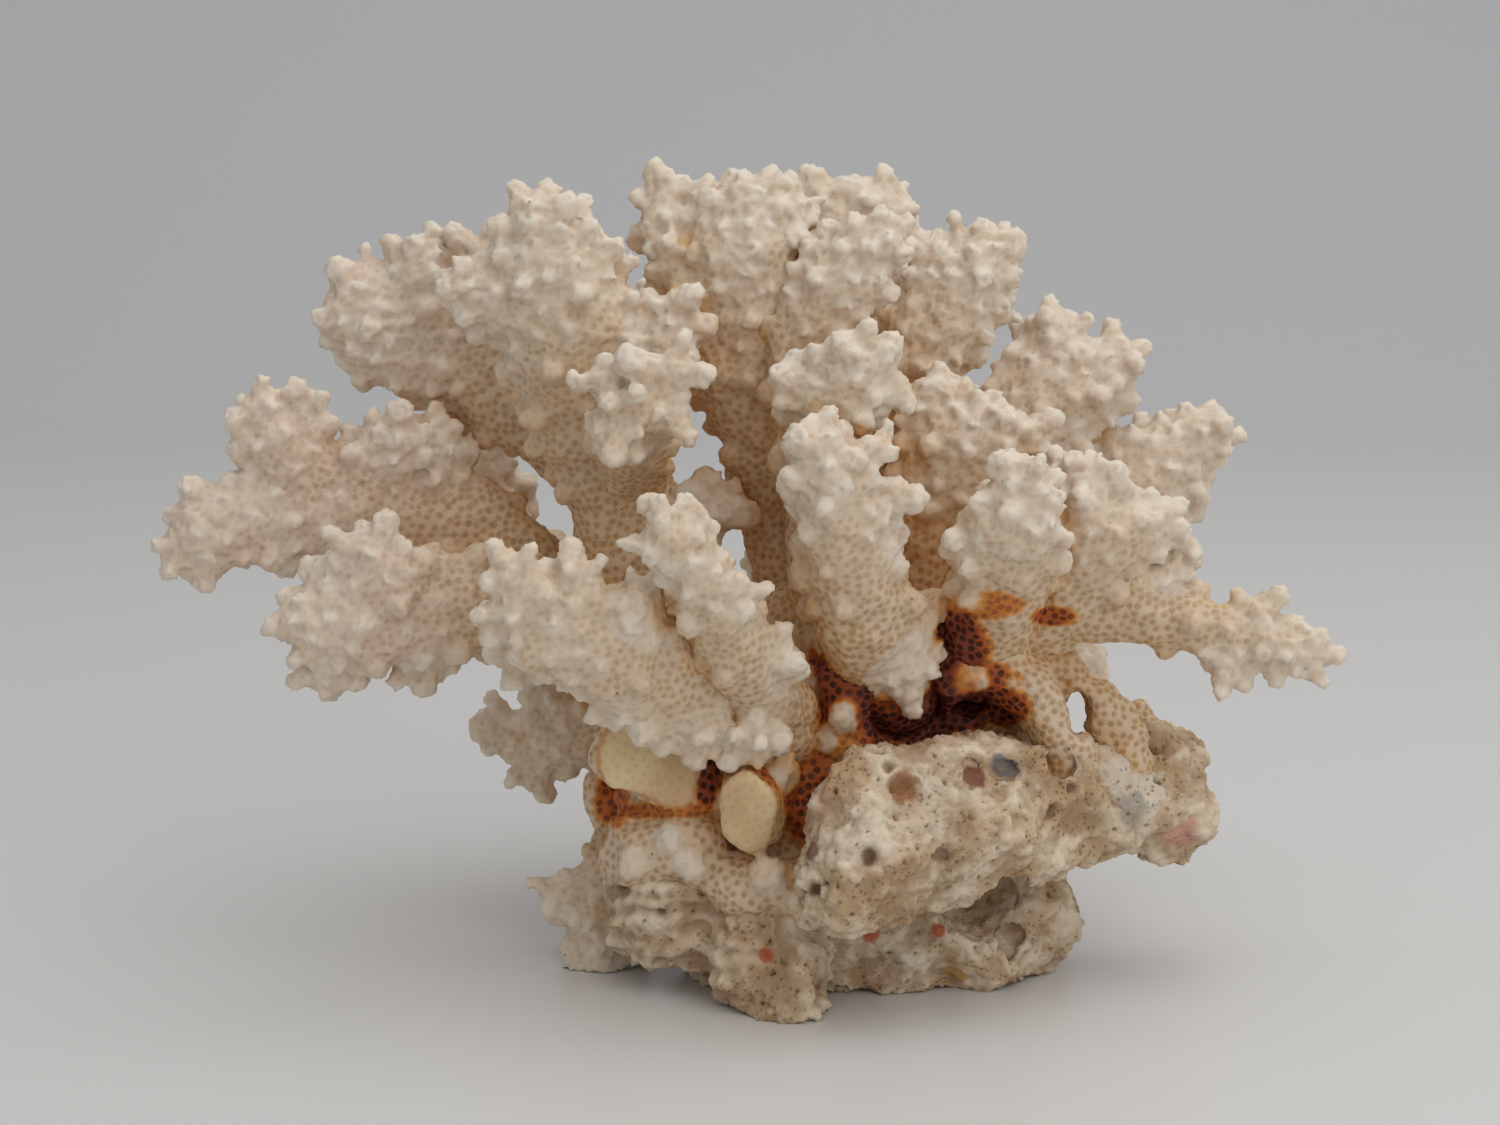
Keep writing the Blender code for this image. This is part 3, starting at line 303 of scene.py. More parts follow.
@dataclass(frozen=True)
class Ball:
    """One ellipsoid of a limb, in mm.

    Args:
        centre: its middle.
        frame: rows are along the limb, across the blade and out of the blade.
        radii: half sizes along those rows.
        nearness: 0 at a limb's root to 1 at its tip.
    """

    centre: np.ndarray
    frame: np.ndarray
    radii: np.ndarray
    nearness: float


@dataclass(frozen=True)
class Knob:
    """One knob on a limb: its foot and way out, its rim share and nearness to the tip, and its size."""

    foot: np.ndarray
    out: np.ndarray
    rim: float
    nearness: float
    radius: float = 1.0
    length: float = 1.0


def at(x: float, z: float, depth: float) -> Vector:
    """Place a point of the front drawing at its depth, along the line of sight.

    Args:
        x: to the right on the drawing, mm.
        z: up on the drawing, mm.
        depth: behind the drawing, mm.

    Returns:
        The point in mm.
    """
    reach = 1.0 - depth / EYE.y
    return Vector((x * reach, depth, EYE.z + (z - EYE.z) * reach))


def smooth_step(values: np.ndarray, low: float, high: float) -> np.ndarray:
    """Ease from 0 at low to 1 at high.

    Args:
        values: numbers to map.
        low: where the result starts to rise.
        high: where it reaches 1.

    Returns:
        The eased values.
    """
    share = np.clip((values - low) / (high - low), 0.0, 1.0)
    return share * share * (3.0 - 2.0 * share)


UPRIGHT = np.eye(3)
GROUND = (0.3, 0.3, 0.04)  # size of the block below the specimen, m
KNOB_BALLS = ((-0.25, 1.35), (0.4, 1.05), (1.0, 1.0))  # share of a knob's length, and of its radius
NOWHERE = (0, 0, 999)
KNOB_END = 0.88  # share of its radius by which a knob's last ball stands back from its end


class Clay:
    """Collects ellipsoids for one skin, in small lots because an operator's cost grows with its mesh."""

    LOT = 24

    def __init__(self) -> None:
        """Start with nothing."""
        self.whole = bmesh.new()
        self.lot = bmesh.new()
        self.count = 0

    def add(self, centre: np.ndarray, axes: np.ndarray, radii: np.ndarray, detail: int) -> None:
        """Add one ellipsoid.

        Args:
            centre: its middle, mm.
            axes: rows are the directions of its radii.
            radii: half sizes, mm.
            detail: how finely its sphere is divided.
        """
        turn = Matrix(np.array(axes).T.tolist()).to_4x4()
        stretch = Matrix.Diagonal((*[float(radius) * MM for radius in radii], 1.0))
        where = Matrix.Translation(Vector([float(value) * MM for value in centre]))
        bmesh.ops.create_icosphere(self.lot, subdivisions=detail, radius=1.0, matrix=where @ turn @ stretch)
        self.count += 1
        if self.count % self.LOT == 0:
            self._merge()

    def _merge(self) -> None:
        """Move the lot into the whole."""
        mesh = bpy.data.meshes.new("lot")
        self.lot.to_mesh(mesh)
        self.whole.from_mesh(mesh)
        bpy.data.meshes.remove(mesh)
        self.lot.free()
        self.lot = bmesh.new()

    def finish(self, name: str) -> bpy.types.Object:
        """Turn the clay into an object.

        Args:
            name: of the object.

        Returns:
            The object.
        """
        self._merge()
        self.lot.free()
        return object_of(name, self.whole)


@dataclass(frozen=True)
class KnobRule:
    """How one size of knob is spread over a limb.

    Args:
        spacing: distance apart near the tips, mm.
        radius: on a blade's flat side, and on its rim, mm.
        length: how far it stands out on a blade's flat side, and on its rim at the tip, mm.
        least: share of the limb's length below which there is none.
        rim: least share of the rim, 0 on a blade's flat side and 1 on its edge.
    """

    spacing: float
    radius: tuple[float, float]
    length: tuple[float, float]
    least: float
    rim: float = 0.0


LARGE_KNOBS = KnobRule(5.6, (1.1, 1.75), (0.4, 3.3), 0.4)
FINGERS = KnobRule(2.9, (0.95, 1.3), (0.5, 3.0), 0.4, 0.45)
SMALL_KNOBS = KnobRule(2.4, (0.6, 0.9), (0.2, 0.7), 0.6)


@dataclass
class Growth:
    """The ellipsoids and knobs of one piece of coral, worked out from its limbs.

    Args:
        name: the CAD node that it stands for.
        limbs: stations of each limb, root first; the limbs after the first are forks.
        order: place in the order of growth, which seeds the knobs.
        knobbly: whether knobs grow on it.
        station_step: distance between ellipsoids, mm.
        tries: points tried on each ellipsoid for a knob.
        balls: the ellipsoids, worked out here.
        knobs: the knobs, worked out here.
    """

    name: str
    limbs: list[list[Station]]
    order: int
    knobbly: bool = True
    station_step: float = 1.6
    tries: int = 60
    balls: list[Ball] = field(default_factory=list)
    knobs: list[Knob] = field(default_factory=list)

    def __post_init__(self) -> None:
        """Lay out the balls and the knobs."""
        self.balls = self._along(self.limbs[0], 0.0, 1.0)
        for fork in self.limbs[1:]:
            self.balls += self._along(fork, 0.6, 0.4)
        if self.knobbly:
            rng = np.random.default_rng(SEED + self.order)
            for rule in (LARGE_KNOBS, FINGERS, SMALL_KNOBS):
                self.knobs += self._scatter(rng, rule, [knob.foot for knob in self.knobs])

    def _along(self, limb: list[Station], base: float, span: float) -> list[Ball]:
        """Run ellipsoids along one limb.

        Args:
            limb: its stations.
            base: nearness to the tip at its start.
            span: how much the nearness grows along it.

        Returns:
            The ellipsoids.
        """
        shapes = []
        for first, last in zip(limb, limb[1:]):
            start, end = at(*first[:3]), at(*last[:3])
            way = (end - start).normalized()
            facing = TOWARDS_VIEWER if abs(way.y) < 0.85 else Vector((0, 0, 1))
            facing = (facing - facing.dot(way) * way).normalized()
            axes = np.array([way, facing.cross(way), facing])
            steps = max(1, round((end - start).length / self.station_step))
            for step in range(steps + 1):
                share = step / steps
                wide = first[3] + (last[3] - first[3]) * share
                thick = first[4] + (last[4] - first[4]) * share
                middle = np.array(start.lerp(end, share))
                shapes.append((middle, axes, np.array((0.5 * (wide + thick), wide, thick))))
        count = max(1, len(shapes) - 1)
        return [Ball(*shape, base + span * index / count) for index, shape in enumerate(shapes)]

    def _surface(self, rng: np.random.Generator, tries: int) -> tuple[np.ndarray, np.ndarray, np.ndarray]:
        """Scatter points over the outside of the ellipsoids.

        Args:
            rng: the source of chance.
            tries: points for each ellipsoid, most of which fall inside another.

        Returns:
            The points, their normals, and the ellipsoid that each is on.
        """
        centres = np.array([ball.centre for ball in self.balls])
        frames = np.array([ball.frame for ball in self.balls])
        radii = np.array([ball.radii for ball in self.balls])
        owner = np.repeat(np.arange(len(self.balls)), tries)
        way = rng.normal(size=(len(owner), 3))
        way /= np.linalg.norm(way, axis=1)[:, None]
        spots = centres[owner] + np.einsum("ni,nij->nj", way * radii[owner], frames[owner])
        normals = np.einsum("ni,nij->nj", way / radii[owner], frames[owner])
        normals /= np.linalg.norm(normals, axis=1)[:, None]
        outside = np.ones(len(owner), bool)
        for index in range(len(self.balls)):
            local = (spots - centres[index]) @ frames[index].T / radii[index]
            outside &= (np.linalg.norm(local, axis=1) > 0.985) | (owner == index)
        return spots[outside], normals[outside], owner[outside]

    def _scatter(self, rng: np.random.Generator, rule: KnobRule, taken: list[np.ndarray]) -> list[Knob]:
        """Spread knobs evenly, apart from each other and from those that already stand.

        Args:
            rng: the source of chance.
            rule: the size and spacing of these knobs.
            taken: feet of the knobs that already stand.

        Returns:
            The new knobs.
        """
        spots, normals, owners = self._surface(rng, self.tries)
        knobs = []
        feet = list(taken)
        for index in rng.permutation(len(spots)):
            ball = self.balls[owners[index]]
            if ball.nearness < rule.least:
                continue
            rim = 1.0 - abs(float(normals[index] @ ball.frame[2]))
            if rim < rule.rim:
                continue
            apart = rule.spacing * (1.45 - 0.45 * ball.nearness) * (1.2 - 0.3 * rim)
            if feet and np.min(np.linalg.norm(np.array(feet) - spots[index], axis=1)) < apart:
                continue
            feet.append(spots[index])
            out = normals[index] + (0.25 + 0.45 * rim) * ball.frame[0] + rng.normal(scale=0.15, size=3)
            out /= np.linalg.norm(out)
            knobs.append(Knob(spots[index], out, rim, ball.nearness))
        sized = np.random.default_rng(SEED * 7 + self.order)
        for index, knob in enumerate(knobs):
            radius = rule.radius[0] + (rule.radius[1] - rule.radius[0]) * knob.rim
            radius *= sized.uniform(0.88, 1.12)
            reach = rule.length[0] + (rule.length[1] - rule.length[0]) * knob.rim * knob.nearness
            length = reach * sized.uniform(0.7, 1.15)
            knobs[index] = Knob(knob.foot, knob.out, knob.rim, knob.nearness, radius, length)
        return knobs

    def fill(self, clay: Clay) -> None:
        """Add every ellipsoid and knob to the clay.

        Args:
            clay: what collects them.
        """
        for ball in self.balls:
            clay.add(ball.centre, ball.frame, ball.radii, 3)
        for knob in self.knobs:
            for share, swell in KNOB_BALLS:
                spot = knob.foot + knob.out * (knob.length - KNOB_END * knob.radius) * share
                clay.add(spot, UPRIGHT, np.full(3, knob.radius * swell), 2)


def new_object(name: str, mesh: bpy.types.Mesh) -> bpy.types.Object:
    """Put a mesh in the scene as an object.

    Args:
        name: of the object.
        mesh: the mesh.

    Returns:
        The object.
    """
    obj = bpy.data.objects.new(name, mesh)
    bpy.context.scene.collection.objects.link(obj)
    return obj


def object_of(name: str, bm: bmesh.types.BMesh) -> bpy.types.Object:
    """Turn a bmesh into an object and free it.

    Args:
        name: of the object.
        bm: the bmesh.

    Returns:
        The object.
    """
    mesh = bpy.data.meshes.new(name)
    bm.to_mesh(mesh)
    bm.free()
    return new_object(name, mesh)


def bake(obj: bpy.types.Object) -> None:
    """Replace an object's mesh by its evaluated one and take its modifiers off.

    Args:
        obj: the object.
    """
    graph = bpy.context.evaluated_depsgraph_get()
    old = obj.data
    obj.data = bpy.data.meshes.new_from_object(obj.evaluated_get(graph))
    obj.modifiers.clear()
    bpy.data.meshes.remove(old)


def add_skin(obj: bpy.types.Object, voxel: float) -> None:
    """Join all that an object holds in one closed skin.

    Args:
        obj: the object.
        voxel: size of the skin's cells, mm.
    """
    skin = obj.modifiers.new("skin", "REMESH")
    skin.mode = "VOXEL"
    skin.voxel_size = voxel * MM


def add_smoothing(obj: bpy.types.Object, turns: int) -> None:
    """Round an object's creases.

    Args:
        obj: the object.
        turns: how often it is eased.
    """
    ease = obj.modifiers.new("ease", "SMOOTH")
    ease.factor = 0.5
    ease.iterations = turns


def add_lumps(obj: bpy.types.Object, size: float, height: float, depth: int = 2) -> None:
    """Push an object's surface in and out by smooth noise.

    Args:
        obj: the object.
        size: how far apart the lumps are, mm.
        height: from dent to lump, mm.
        depth: how many finer octaves are added.
    """
    clouds = bpy.data.textures.new("lumps", "CLOUDS")
    clouds.noise_scale = size * MM
    clouds.noise_depth = depth
    lumps = obj.modifiers.new("lumps", "DISPLACE")
    lumps.texture = clouds
    lumps.texture_coords = "LOCAL"
    lumps.strength = height * MM
    lumps.mid_level = 0.5


def positions_of(mesh: bpy.types.Mesh) -> np.ndarray:
    """Read a mesh's points.

    Args:
        mesh: the mesh.

    Returns:
        A row for each point, mm.
    """
    flat = np.empty(len(mesh.vertices) * 3, np.float32)
    mesh.vertices.foreach_get("co", flat)
    return flat.reshape(-1, 3).astype(float) / MM


def normals_of(mesh: bpy.types.Mesh) -> np.ndarray:
    """Read a mesh's point normals.

    Args:
        mesh: the mesh.

    Returns:
        A row for each point.
    """
    flat = np.empty(len(mesh.vertices) * 3, np.float32)
    mesh.vertex_normals.foreach_get("vector", flat)
    return flat.reshape(-1, 3).astype(float)


def write_positions(mesh: bpy.types.Mesh, spots: np.ndarray) -> None:
    """Write a mesh's points, given in mm."""
    mesh.vertices.foreach_set("co", (spots * MM).astype(np.float32).ravel())
    mesh.update()


def write_attribute(mesh: bpy.types.Mesh, name: str, values: np.ndarray, domain: str = "POINT") -> None:
    """Store a number or a vector for each point or face corner of a mesh.

    Args:
        mesh: the mesh.
        name: of the attribute.
        values: one row or number for each place.
        domain: POINT or CORNER.
    """
    kind, key = ("FLOAT_VECTOR", "vector") if values.ndim == 2 else ("FLOAT", "value")
    layer = mesh.attributes.new(name, kind, domain)
    layer.data.foreach_set(key, values.astype(np.float32).ravel())


def tree_of(spots: np.ndarray) -> KDTree:
    """Index points for nearest searches.

    Args:
        spots: the points.

    Returns:
        The balanced tree.
    """
    tree = KDTree(len(spots))
    for index, spot in enumerate(spots):
        tree.insert(spot, index)
    tree.balance()
    return tree


def spread(spots: np.ndarray, gap: float, rng: np.random.Generator) -> np.ndarray:
    """Choose points at least a gap apart, as densely as that allows.

    Args:
        spots: candidates, mm.
        gap: least distance between chosen points, mm.
        rng: the source of chance.

    Returns:
        The indices of the chosen points.
    """
    tree = tree_of(spots)
    free = np.ones(len(spots), bool)
    chosen = []
    for index in rng.permutation(len(spots)):
        if not free[index]:
            continue
        chosen.append(index)
        for _, near, _ in tree.find_range(spots[index], gap):
            free[near] = False
    return np.array(chosen)


class Shade:
    """How enclosed each place of the colony is, measured against the solids, for the painted shade of the
    finishes.
    """

    RAYS = 40
    NEIGHBOURS = 4

    def __init__(self) -> None:
        """Gather the solids in one search tree."""
        self.tree = Sight.onto(sorted(frame["nodes"])).tree
        self.rays = self._directions(self.RAYS)

    @staticmethod
    def _directions(count: int) -> list[Vector]:
        """Spread directions evenly over a sphere.

        Args:
            count: how many.

        Returns:
            The directions.
        """
        golden = math.pi * (3.0 - math.sqrt(5.0))
        ways = []
        for index in range(count):
            height = 1.0 - 2.0 * (index + 0.5) / count
            ring = math.sqrt(1.0 - height * height)
            ways.append(Vector((ring * math.cos(golden * index), ring * math.sin(golden * index), height)))
        return ways

    def of(
        self, spots: np.ndarray, normals: np.ndarray, reach: float = 30.0, lift: float = 2.2
    ) -> np.ndarray:
        """Measure enclosure at some points.

        Args:
            spots: the points, mm.
            normals: the way that the surface faces at each.
            reach: how far a neighbour still counts, mm.
            lift: how far off the surface a ray starts, mm.

        Returns:
            0 where a point is open and 1 where it is closed in.
        """
        closed = np.zeros(len(spots))
        for index, (spot, normal) in enumerate(zip(spots, normals)):
            way_out = Vector(normal)
            start = (Vector(spot) + way_out * lift) * MM
            seen = total = 0.0
            for ray in self.rays:
                weight = ray.dot(way_out)
                if weight <= 0.05:
                    continue
                total += weight
                _, _, _, far = self.tree.ray_cast(start, ray, reach * MM)
                if far is not None:
                    seen += weight * (1.0 - 0.6 * far / (reach * MM))
            closed[index] = seen / total
        return closed

    def on(self, mesh: bpy.types.Mesh, gap: float, rng: np.random.Generator) -> np.ndarray:
        """Measure enclosure all over a mesh, at spread points, and ease it between them.

        Args:
            mesh: the mesh.
            gap: how far apart the measured points are, mm.
            rng: the source of chance.

        Returns:
            The enclosure at each point of the mesh.
        """
        spots, normals = positions_of(mesh), normals_of(mesh)
        some = rng.permutation(len(spots))[: max(200, len(spots) // 6)]
        picked = some[spread(spots[some], gap, rng)]
        known = self.of(spots[picked], normals[picked])
        tree = tree_of(spots[picked])
        values = np.empty(len(spots))
        for index, spot in enumerate(spots):
            share = weight_sum = 0.0
            for _, near, far in tree.find_n(spot, self.NEIGHBOURS):
                weight = 1.0 / (far * far + 0.3)
                share += weight * known[near]
                weight_sum += weight
            values[index] = share / weight_sum
        return values


@dataclass(frozen=True)
class CupRule:
    """The coral's cups: small round pits all over the skeleton.

    Args:
        gap: least distance between two, mm.
        radius: of a pit's mouth, mm.
        sink: how deep the skin dips at one, mm.
    """

    gap: float = 1.0
    radius: float = 0.42
    sink: float = 0.17

    def carve(self, mesh: bpy.types.Mesh, strength: np.ndarray, rng: np.random.Generator) -> None:
        """Dip the skin at each cup and store where the cups are.

        Args:
            mesh: the mesh.
            strength: how marked the cups are at each point, 0 to 1.
            rng: the source of chance.
        """
        spots, normals = positions_of(mesh), normals_of(mesh)
        cups = spots[spread(spots, self.gap, rng)]
        tree = tree_of(cups)
        far = np.array([tree.find(spot)[2] for spot in spots])
        corners = np.empty(len(mesh.loops), np.int64)
        mesh.loops.foreach_get("vertex_index", corners)
        sizes = np.empty(len(mesh.polygons), np.int64)
        mesh.polygons.foreach_get("loop_total", sizes)
        middles = np.empty(len(mesh.polygons) * 3, np.float32)
        mesh.polygons.foreach_get("center", middles)
        nearest = np.array([tree.find(middle)[1] for middle in middles.reshape(-1, 3) / MM])
        write_attribute(mesh, "cup", cups[np.repeat(nearest, sizes)] - spots[corners], "CORNER")
        write_attribute(mesh, "cup_far", far)
        dip = 1.0 - smooth_step(far, 0.15 * self.radius, 1.5 * self.radius)
        write_positions(mesh, spots - normals * (dip * strength * self.sink)[:, None])


@dataclass(frozen=True)
class Sight:
    """The line of sight that the front drawing was taken along."""

    tree: BVHTree

    @classmethod
    def onto(cls, nodes: list[str]) -> Sight:
        """Look at some of the solids and see through the rest.

        Args:
            nodes: their names.

        Returns:
            The line of sight onto them.
        """
        points: list[Vector] = []
        faces: list[tuple[int, ...]] = []
        for name in nodes:
            mesh = bpy.data.objects[name].data
            base = len(points)
            points += [vert.co.copy() for vert in mesh.vertices]
            faces += [tuple(base + index for index in face.vertices) for face in mesh.polygons]
        return cls(BVHTree.FromPolygons(points, faces))

    def hit(self, x: float, z: float) -> Vector:
        """Find the first place that shows at a point of the drawing.

        Args:
            x: to the right on the drawing, mm.
            z: up on the drawing, mm.

        Returns:
            The place in mm, or the point at depth 0 where nothing shows.
        """
        eye = EYE * MM
        way = (at(x, z, 0.0) * MM - eye).normalized()
        spot, _, _, _ = self.tree.ray_cast(eye, way, 1.0)
        return at(x, z, 0.0) if spot is None else spot / MM


class Dressing:
    """What the limbs and the rock share: a flat rest, and the dressing that hangs the skin on the root and
    hides the node that it stands for.
    """

    growth: Growth
    slot: Slot

    @staticmethod
    def rest(mesh: bpy.types.Mesh) -> None:
        """Press the skin flat where it meets the surface that the specimen stands on.

        Args:
            mesh: the skin's mesh.
        """
        spots = positions_of(mesh)
        spots[:, 2] = np.maximum(spots[:, 2], 0.0)
        write_positions(mesh, spots)

    def dress(self, piece: bpy.types.Object, material: bpy.types.Material) -> None:
        """Give a finished skin its material, hang it on the root, hide the node that it stands for, and
        report it.

        Args:
            piece: the finished object.
            material: its finish.
        """
        piece.data.materials.clear()
        piece.data.materials.append(material)
        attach(piece, "root")
        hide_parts(self.growth.name)
        piece.data.calc_loop_triangles()
        LOG.info("%s: %d triangles", piece.name, len(piece.data.loop_triangles))


@dataclass
class Branch(Dressing):
    """One limb of the colony, with its knobs and cups.

    Args:
        growth: its ellipsoids and knobs.
        slot: the material slot; not used.
        voxel: size of the skin's cells, mm.
        hollows: rounded hollows taken out of it.
        breaks: its flat broken faces.
        cups: the size and spacing of its cups.
        lumps: how far apart the lumps of a limb without knobs are, and how high, mm.
    """

    growth: Growth
    slot: Slot = Slot.SKELETON
    voxel: float = 0.48
    hollows: list[tuple[float, ...]] = field(default_factory=list)
    breaks: list[tuple] = field(default_factory=list)
    cups: CupRule = field(default_factory=CupRule)
    lumps: tuple[float, float] = (6.0, 2.6)

    def add_nubs(self, nubs: tuple[tuple[float, ...], ...], sight: Sight) -> None:
        """Stand more knobs on the places that show at points of the drawing.

        Args:
            nubs: x, z, radius and height of each, in mm.
            sight: the line of sight onto this piece's node.
        """
        for x, z, radius, height in nubs:
            spot = np.array(sight.hit(x, z))
            out = np.array(EYE) - spot
            out /= np.linalg.norm(out)
            self.growth.knobs.append(Knob(spot, out, 0.5, 0.8, radius, height))

    def build(self, shade: Shade) -> bpy.types.Object:
        """Model the piece.

        Args:
            shade: the measure of enclosure.

        Returns:
            The finished object, without a material.
        """
        clay = Clay()
        self.growth.fill(clay)
        piece = clay.finish(self.growth.name + "_skin")
        add_skin(piece, self.voxel)
        add_smoothing(piece, 2)
        if not self.growth.knobbly:
            add_lumps(piece, *self.lumps, 1)
        stands = min(ball.centre[2] - ball.radii[1] for ball in self.growth.balls) < 0.0
        if self.hollows or self.breaks or stands:
            bake(piece)
            self._carve(piece)
            take_away(piece, ground())
            add_skin(piece, self.voxel)
            add_smoothing(piece, 2)
        bake(piece)
        self.rest(piece.data)
        rng = np.random.default_rng(SEED + 100 + self.growth.order)
        tip, knob = self._tips(piece.data)
        if not self.growth.knobbly:
            tip = 0.3 * tip + 0.55 * knob
        write_attribute(piece.data, "tip", tip)
        write_attribute(piece.data, "knob", knob)
        # Enclosure, which the finish paints as shade between the limbs.
        closed = shade.on(piece.data, 2.0, rng)
        write_attribute(piece.data, "closed", closed)
        broken = self._broken(piece.data)
        write_attribute(piece.data, "broken", broken)
        self._crumble(piece.data, tip, broken)
        strength = 1.0 - 0.85 * smooth_step(tip + 0.35 * knob, 0.35, 1.05)
        strength *= 1.0 - 0.7 * broken
        write_attribute(piece.data, "cup_strength", strength)
        self.cups.carve(piece.data, strength, rng)
        self.rest(piece.data)
        piece.data.shade_smooth()
        return piece

    def _carve(self, piece: bpy.types.Object) -> None:
        """Take the hollows and the broken faces out of the skin.

        Args:
            piece: the skin.
        """
        if self.hollows:
            take_away(piece, hollows_of(self.hollows))
        for spot, looks, size in self.breaks:
            take_away(piece, block("break", spot, looks, size))

    @staticmethod
    def _crumble(mesh: bpy.types.Mesh, tip: np.ndarray, broken: np.ndarray) -> None:
        """Make the skin uneven, and break it into merged grains towards the tips.

        Args:
            mesh: the mesh.
            tip: nearness to a tip at each point.
            broken: 1 on the broken faces, 0 elsewhere.
        """
        spots, normals = positions_of(mesh), normals_of(mesh)
        swell = np.empty(len(spots))
        grain = np.empty(len(spots))
        for index, spot in enumerate(spots):
            place = Vector(spot)
            swell[index] = noise.noise(place * 0.33) + 0.5 * noise.noise(place * 0.7)
            grain[index] = 0.45 - abs(noise.noise(place * 0.6)) * 1.8 - abs(noise.noise(place * 1.15)) * 0.9
        push = 0.55 * swell + (0.08 + 0.5 * smooth_step(tip, 0.25, 1.0)) * grain
        write_positions(mesh, spots + normals * (push * (1.0 - 0.55 * broken))[:, None])

    def _broken(self, mesh: bpy.types.Mesh) -> np.ndarray:
        """Mark the flat broken faces.

        Args:
            mesh: the mesh.

        Returns:
            1 on them and 0 elsewhere, for each point.
        """
        spots = positions_of(mesh)
        share = np.zeros(len(spots))
        for spot, looks, size in self.breaks:
            facing = np.array(Vector(looks).normalized())
            away = spots - np.array(at(*spot))
            flat = 1.0 - smooth_step(np.abs(away @ facing), 0.5, 1.1)
            near = 1.0 - smooth_step(np.linalg.norm(away, axis=1), 0.8 * size, 0.95 * size)
            share = np.maximum(share, flat * near)
        return share

    def _tips(self, mesh: bpy.types.Mesh) -> tuple[np.ndarray, np.ndarray]:
        """Work out how near each point is to a tip, and how far up a knob it is.

        Args:
            mesh: the mesh.

        Returns:
            The nearness to a tip and the share of a knob, for each point.
        """
        balls = tree_of(np.array([ball.centre for ball in self.growth.balls]))
        spots = positions_of(mesh)
        tip = np.empty(len(spots))
        knob = np.zeros(len(spots))
        ends = [item.foot + item.out * item.length for item in self.growth.knobs]
        heads = tree_of(np.array(ends or [NOWHERE]))
        for index, spot in enumerate(spots):
            share = 0.0
            for _, near, _ in balls.find_n(spot, 3):
                share += self.growth.balls[near].nearness / 3.0
            tip[index] = share
            _, near, far = heads.find(spot)
            if self.growth.knobs:
                knob[index] = far / (self.growth.knobs[near].radius + 0.4)
            else:
                knob[index] = 2.0
        return tip, 1.0 - smooth_step(knob, 0.7, 1.9)


def block(name: str, spot: tuple[float, ...], looks: tuple[float, ...], size: float) -> bpy.types.Object:
    """Make a box that ends at a flat face.

    Args:
        name: of the object.
        spot: a point of the face on the drawing, mm.
        looks: the way that the face looks.
        size: half the box's side, mm.

    Returns:
        The box.
    """
    facing = Vector(looks).normalized()
    turn = facing.to_track_quat("Z", "Y").to_matrix().to_4x4()
    where = Matrix.Translation((at(*spot) + facing * size) * MM)
    bm = bmesh.new()
    bmesh.ops.create_cube(bm, size=2 * size * MM, matrix=where @ turn)
    return object_of(name, bm)


def ground() -> bpy.types.Object:
    """Make a block that fills the space below the surface that the specimen stands on.

    Returns:
        The block.
    """
    bm = bmesh.new()
    size = Matrix.Diagonal((*GROUND, 1.0))
    bmesh.ops.create_cube(bm, size=1.0, matrix=Matrix.Translation((0.0, 0.0, -0.5 * GROUND[2])) @ size)
    return object_of("ground", bm)


def hollows_of(hollows: list[tuple[float, ...]]) -> bpy.types.Object:
    """Make the rounded cutters of a list of hollows.

    Args:
        hollows: x, z, depth, half width, half height and half depth of each, mm.

    Returns:
        The cutters, as one object.
    """
    clay = Clay()
    for x, z, depth, wide, high, deep in hollows:
        clay.add(np.array(at(x, z, depth)), UPRIGHT, np.array((wide, deep, high)), 3)
    return clay.finish("hollows")


def take_away(piece: bpy.types.Object, cutter: bpy.types.Object) -> None:
    """Cut one object's volume out of another and remove the cutter.

    Args:
        piece: what is cut.
        cutter: what is taken out of it.
    """
    hole = piece.modifiers.new("hole", "BOOLEAN")
    hole.operation = "DIFFERENCE"
    hole.solver = "MANIFOLD"
    hole.object = cutter
    bake(piece)
    bpy.data.objects.remove(cutter)


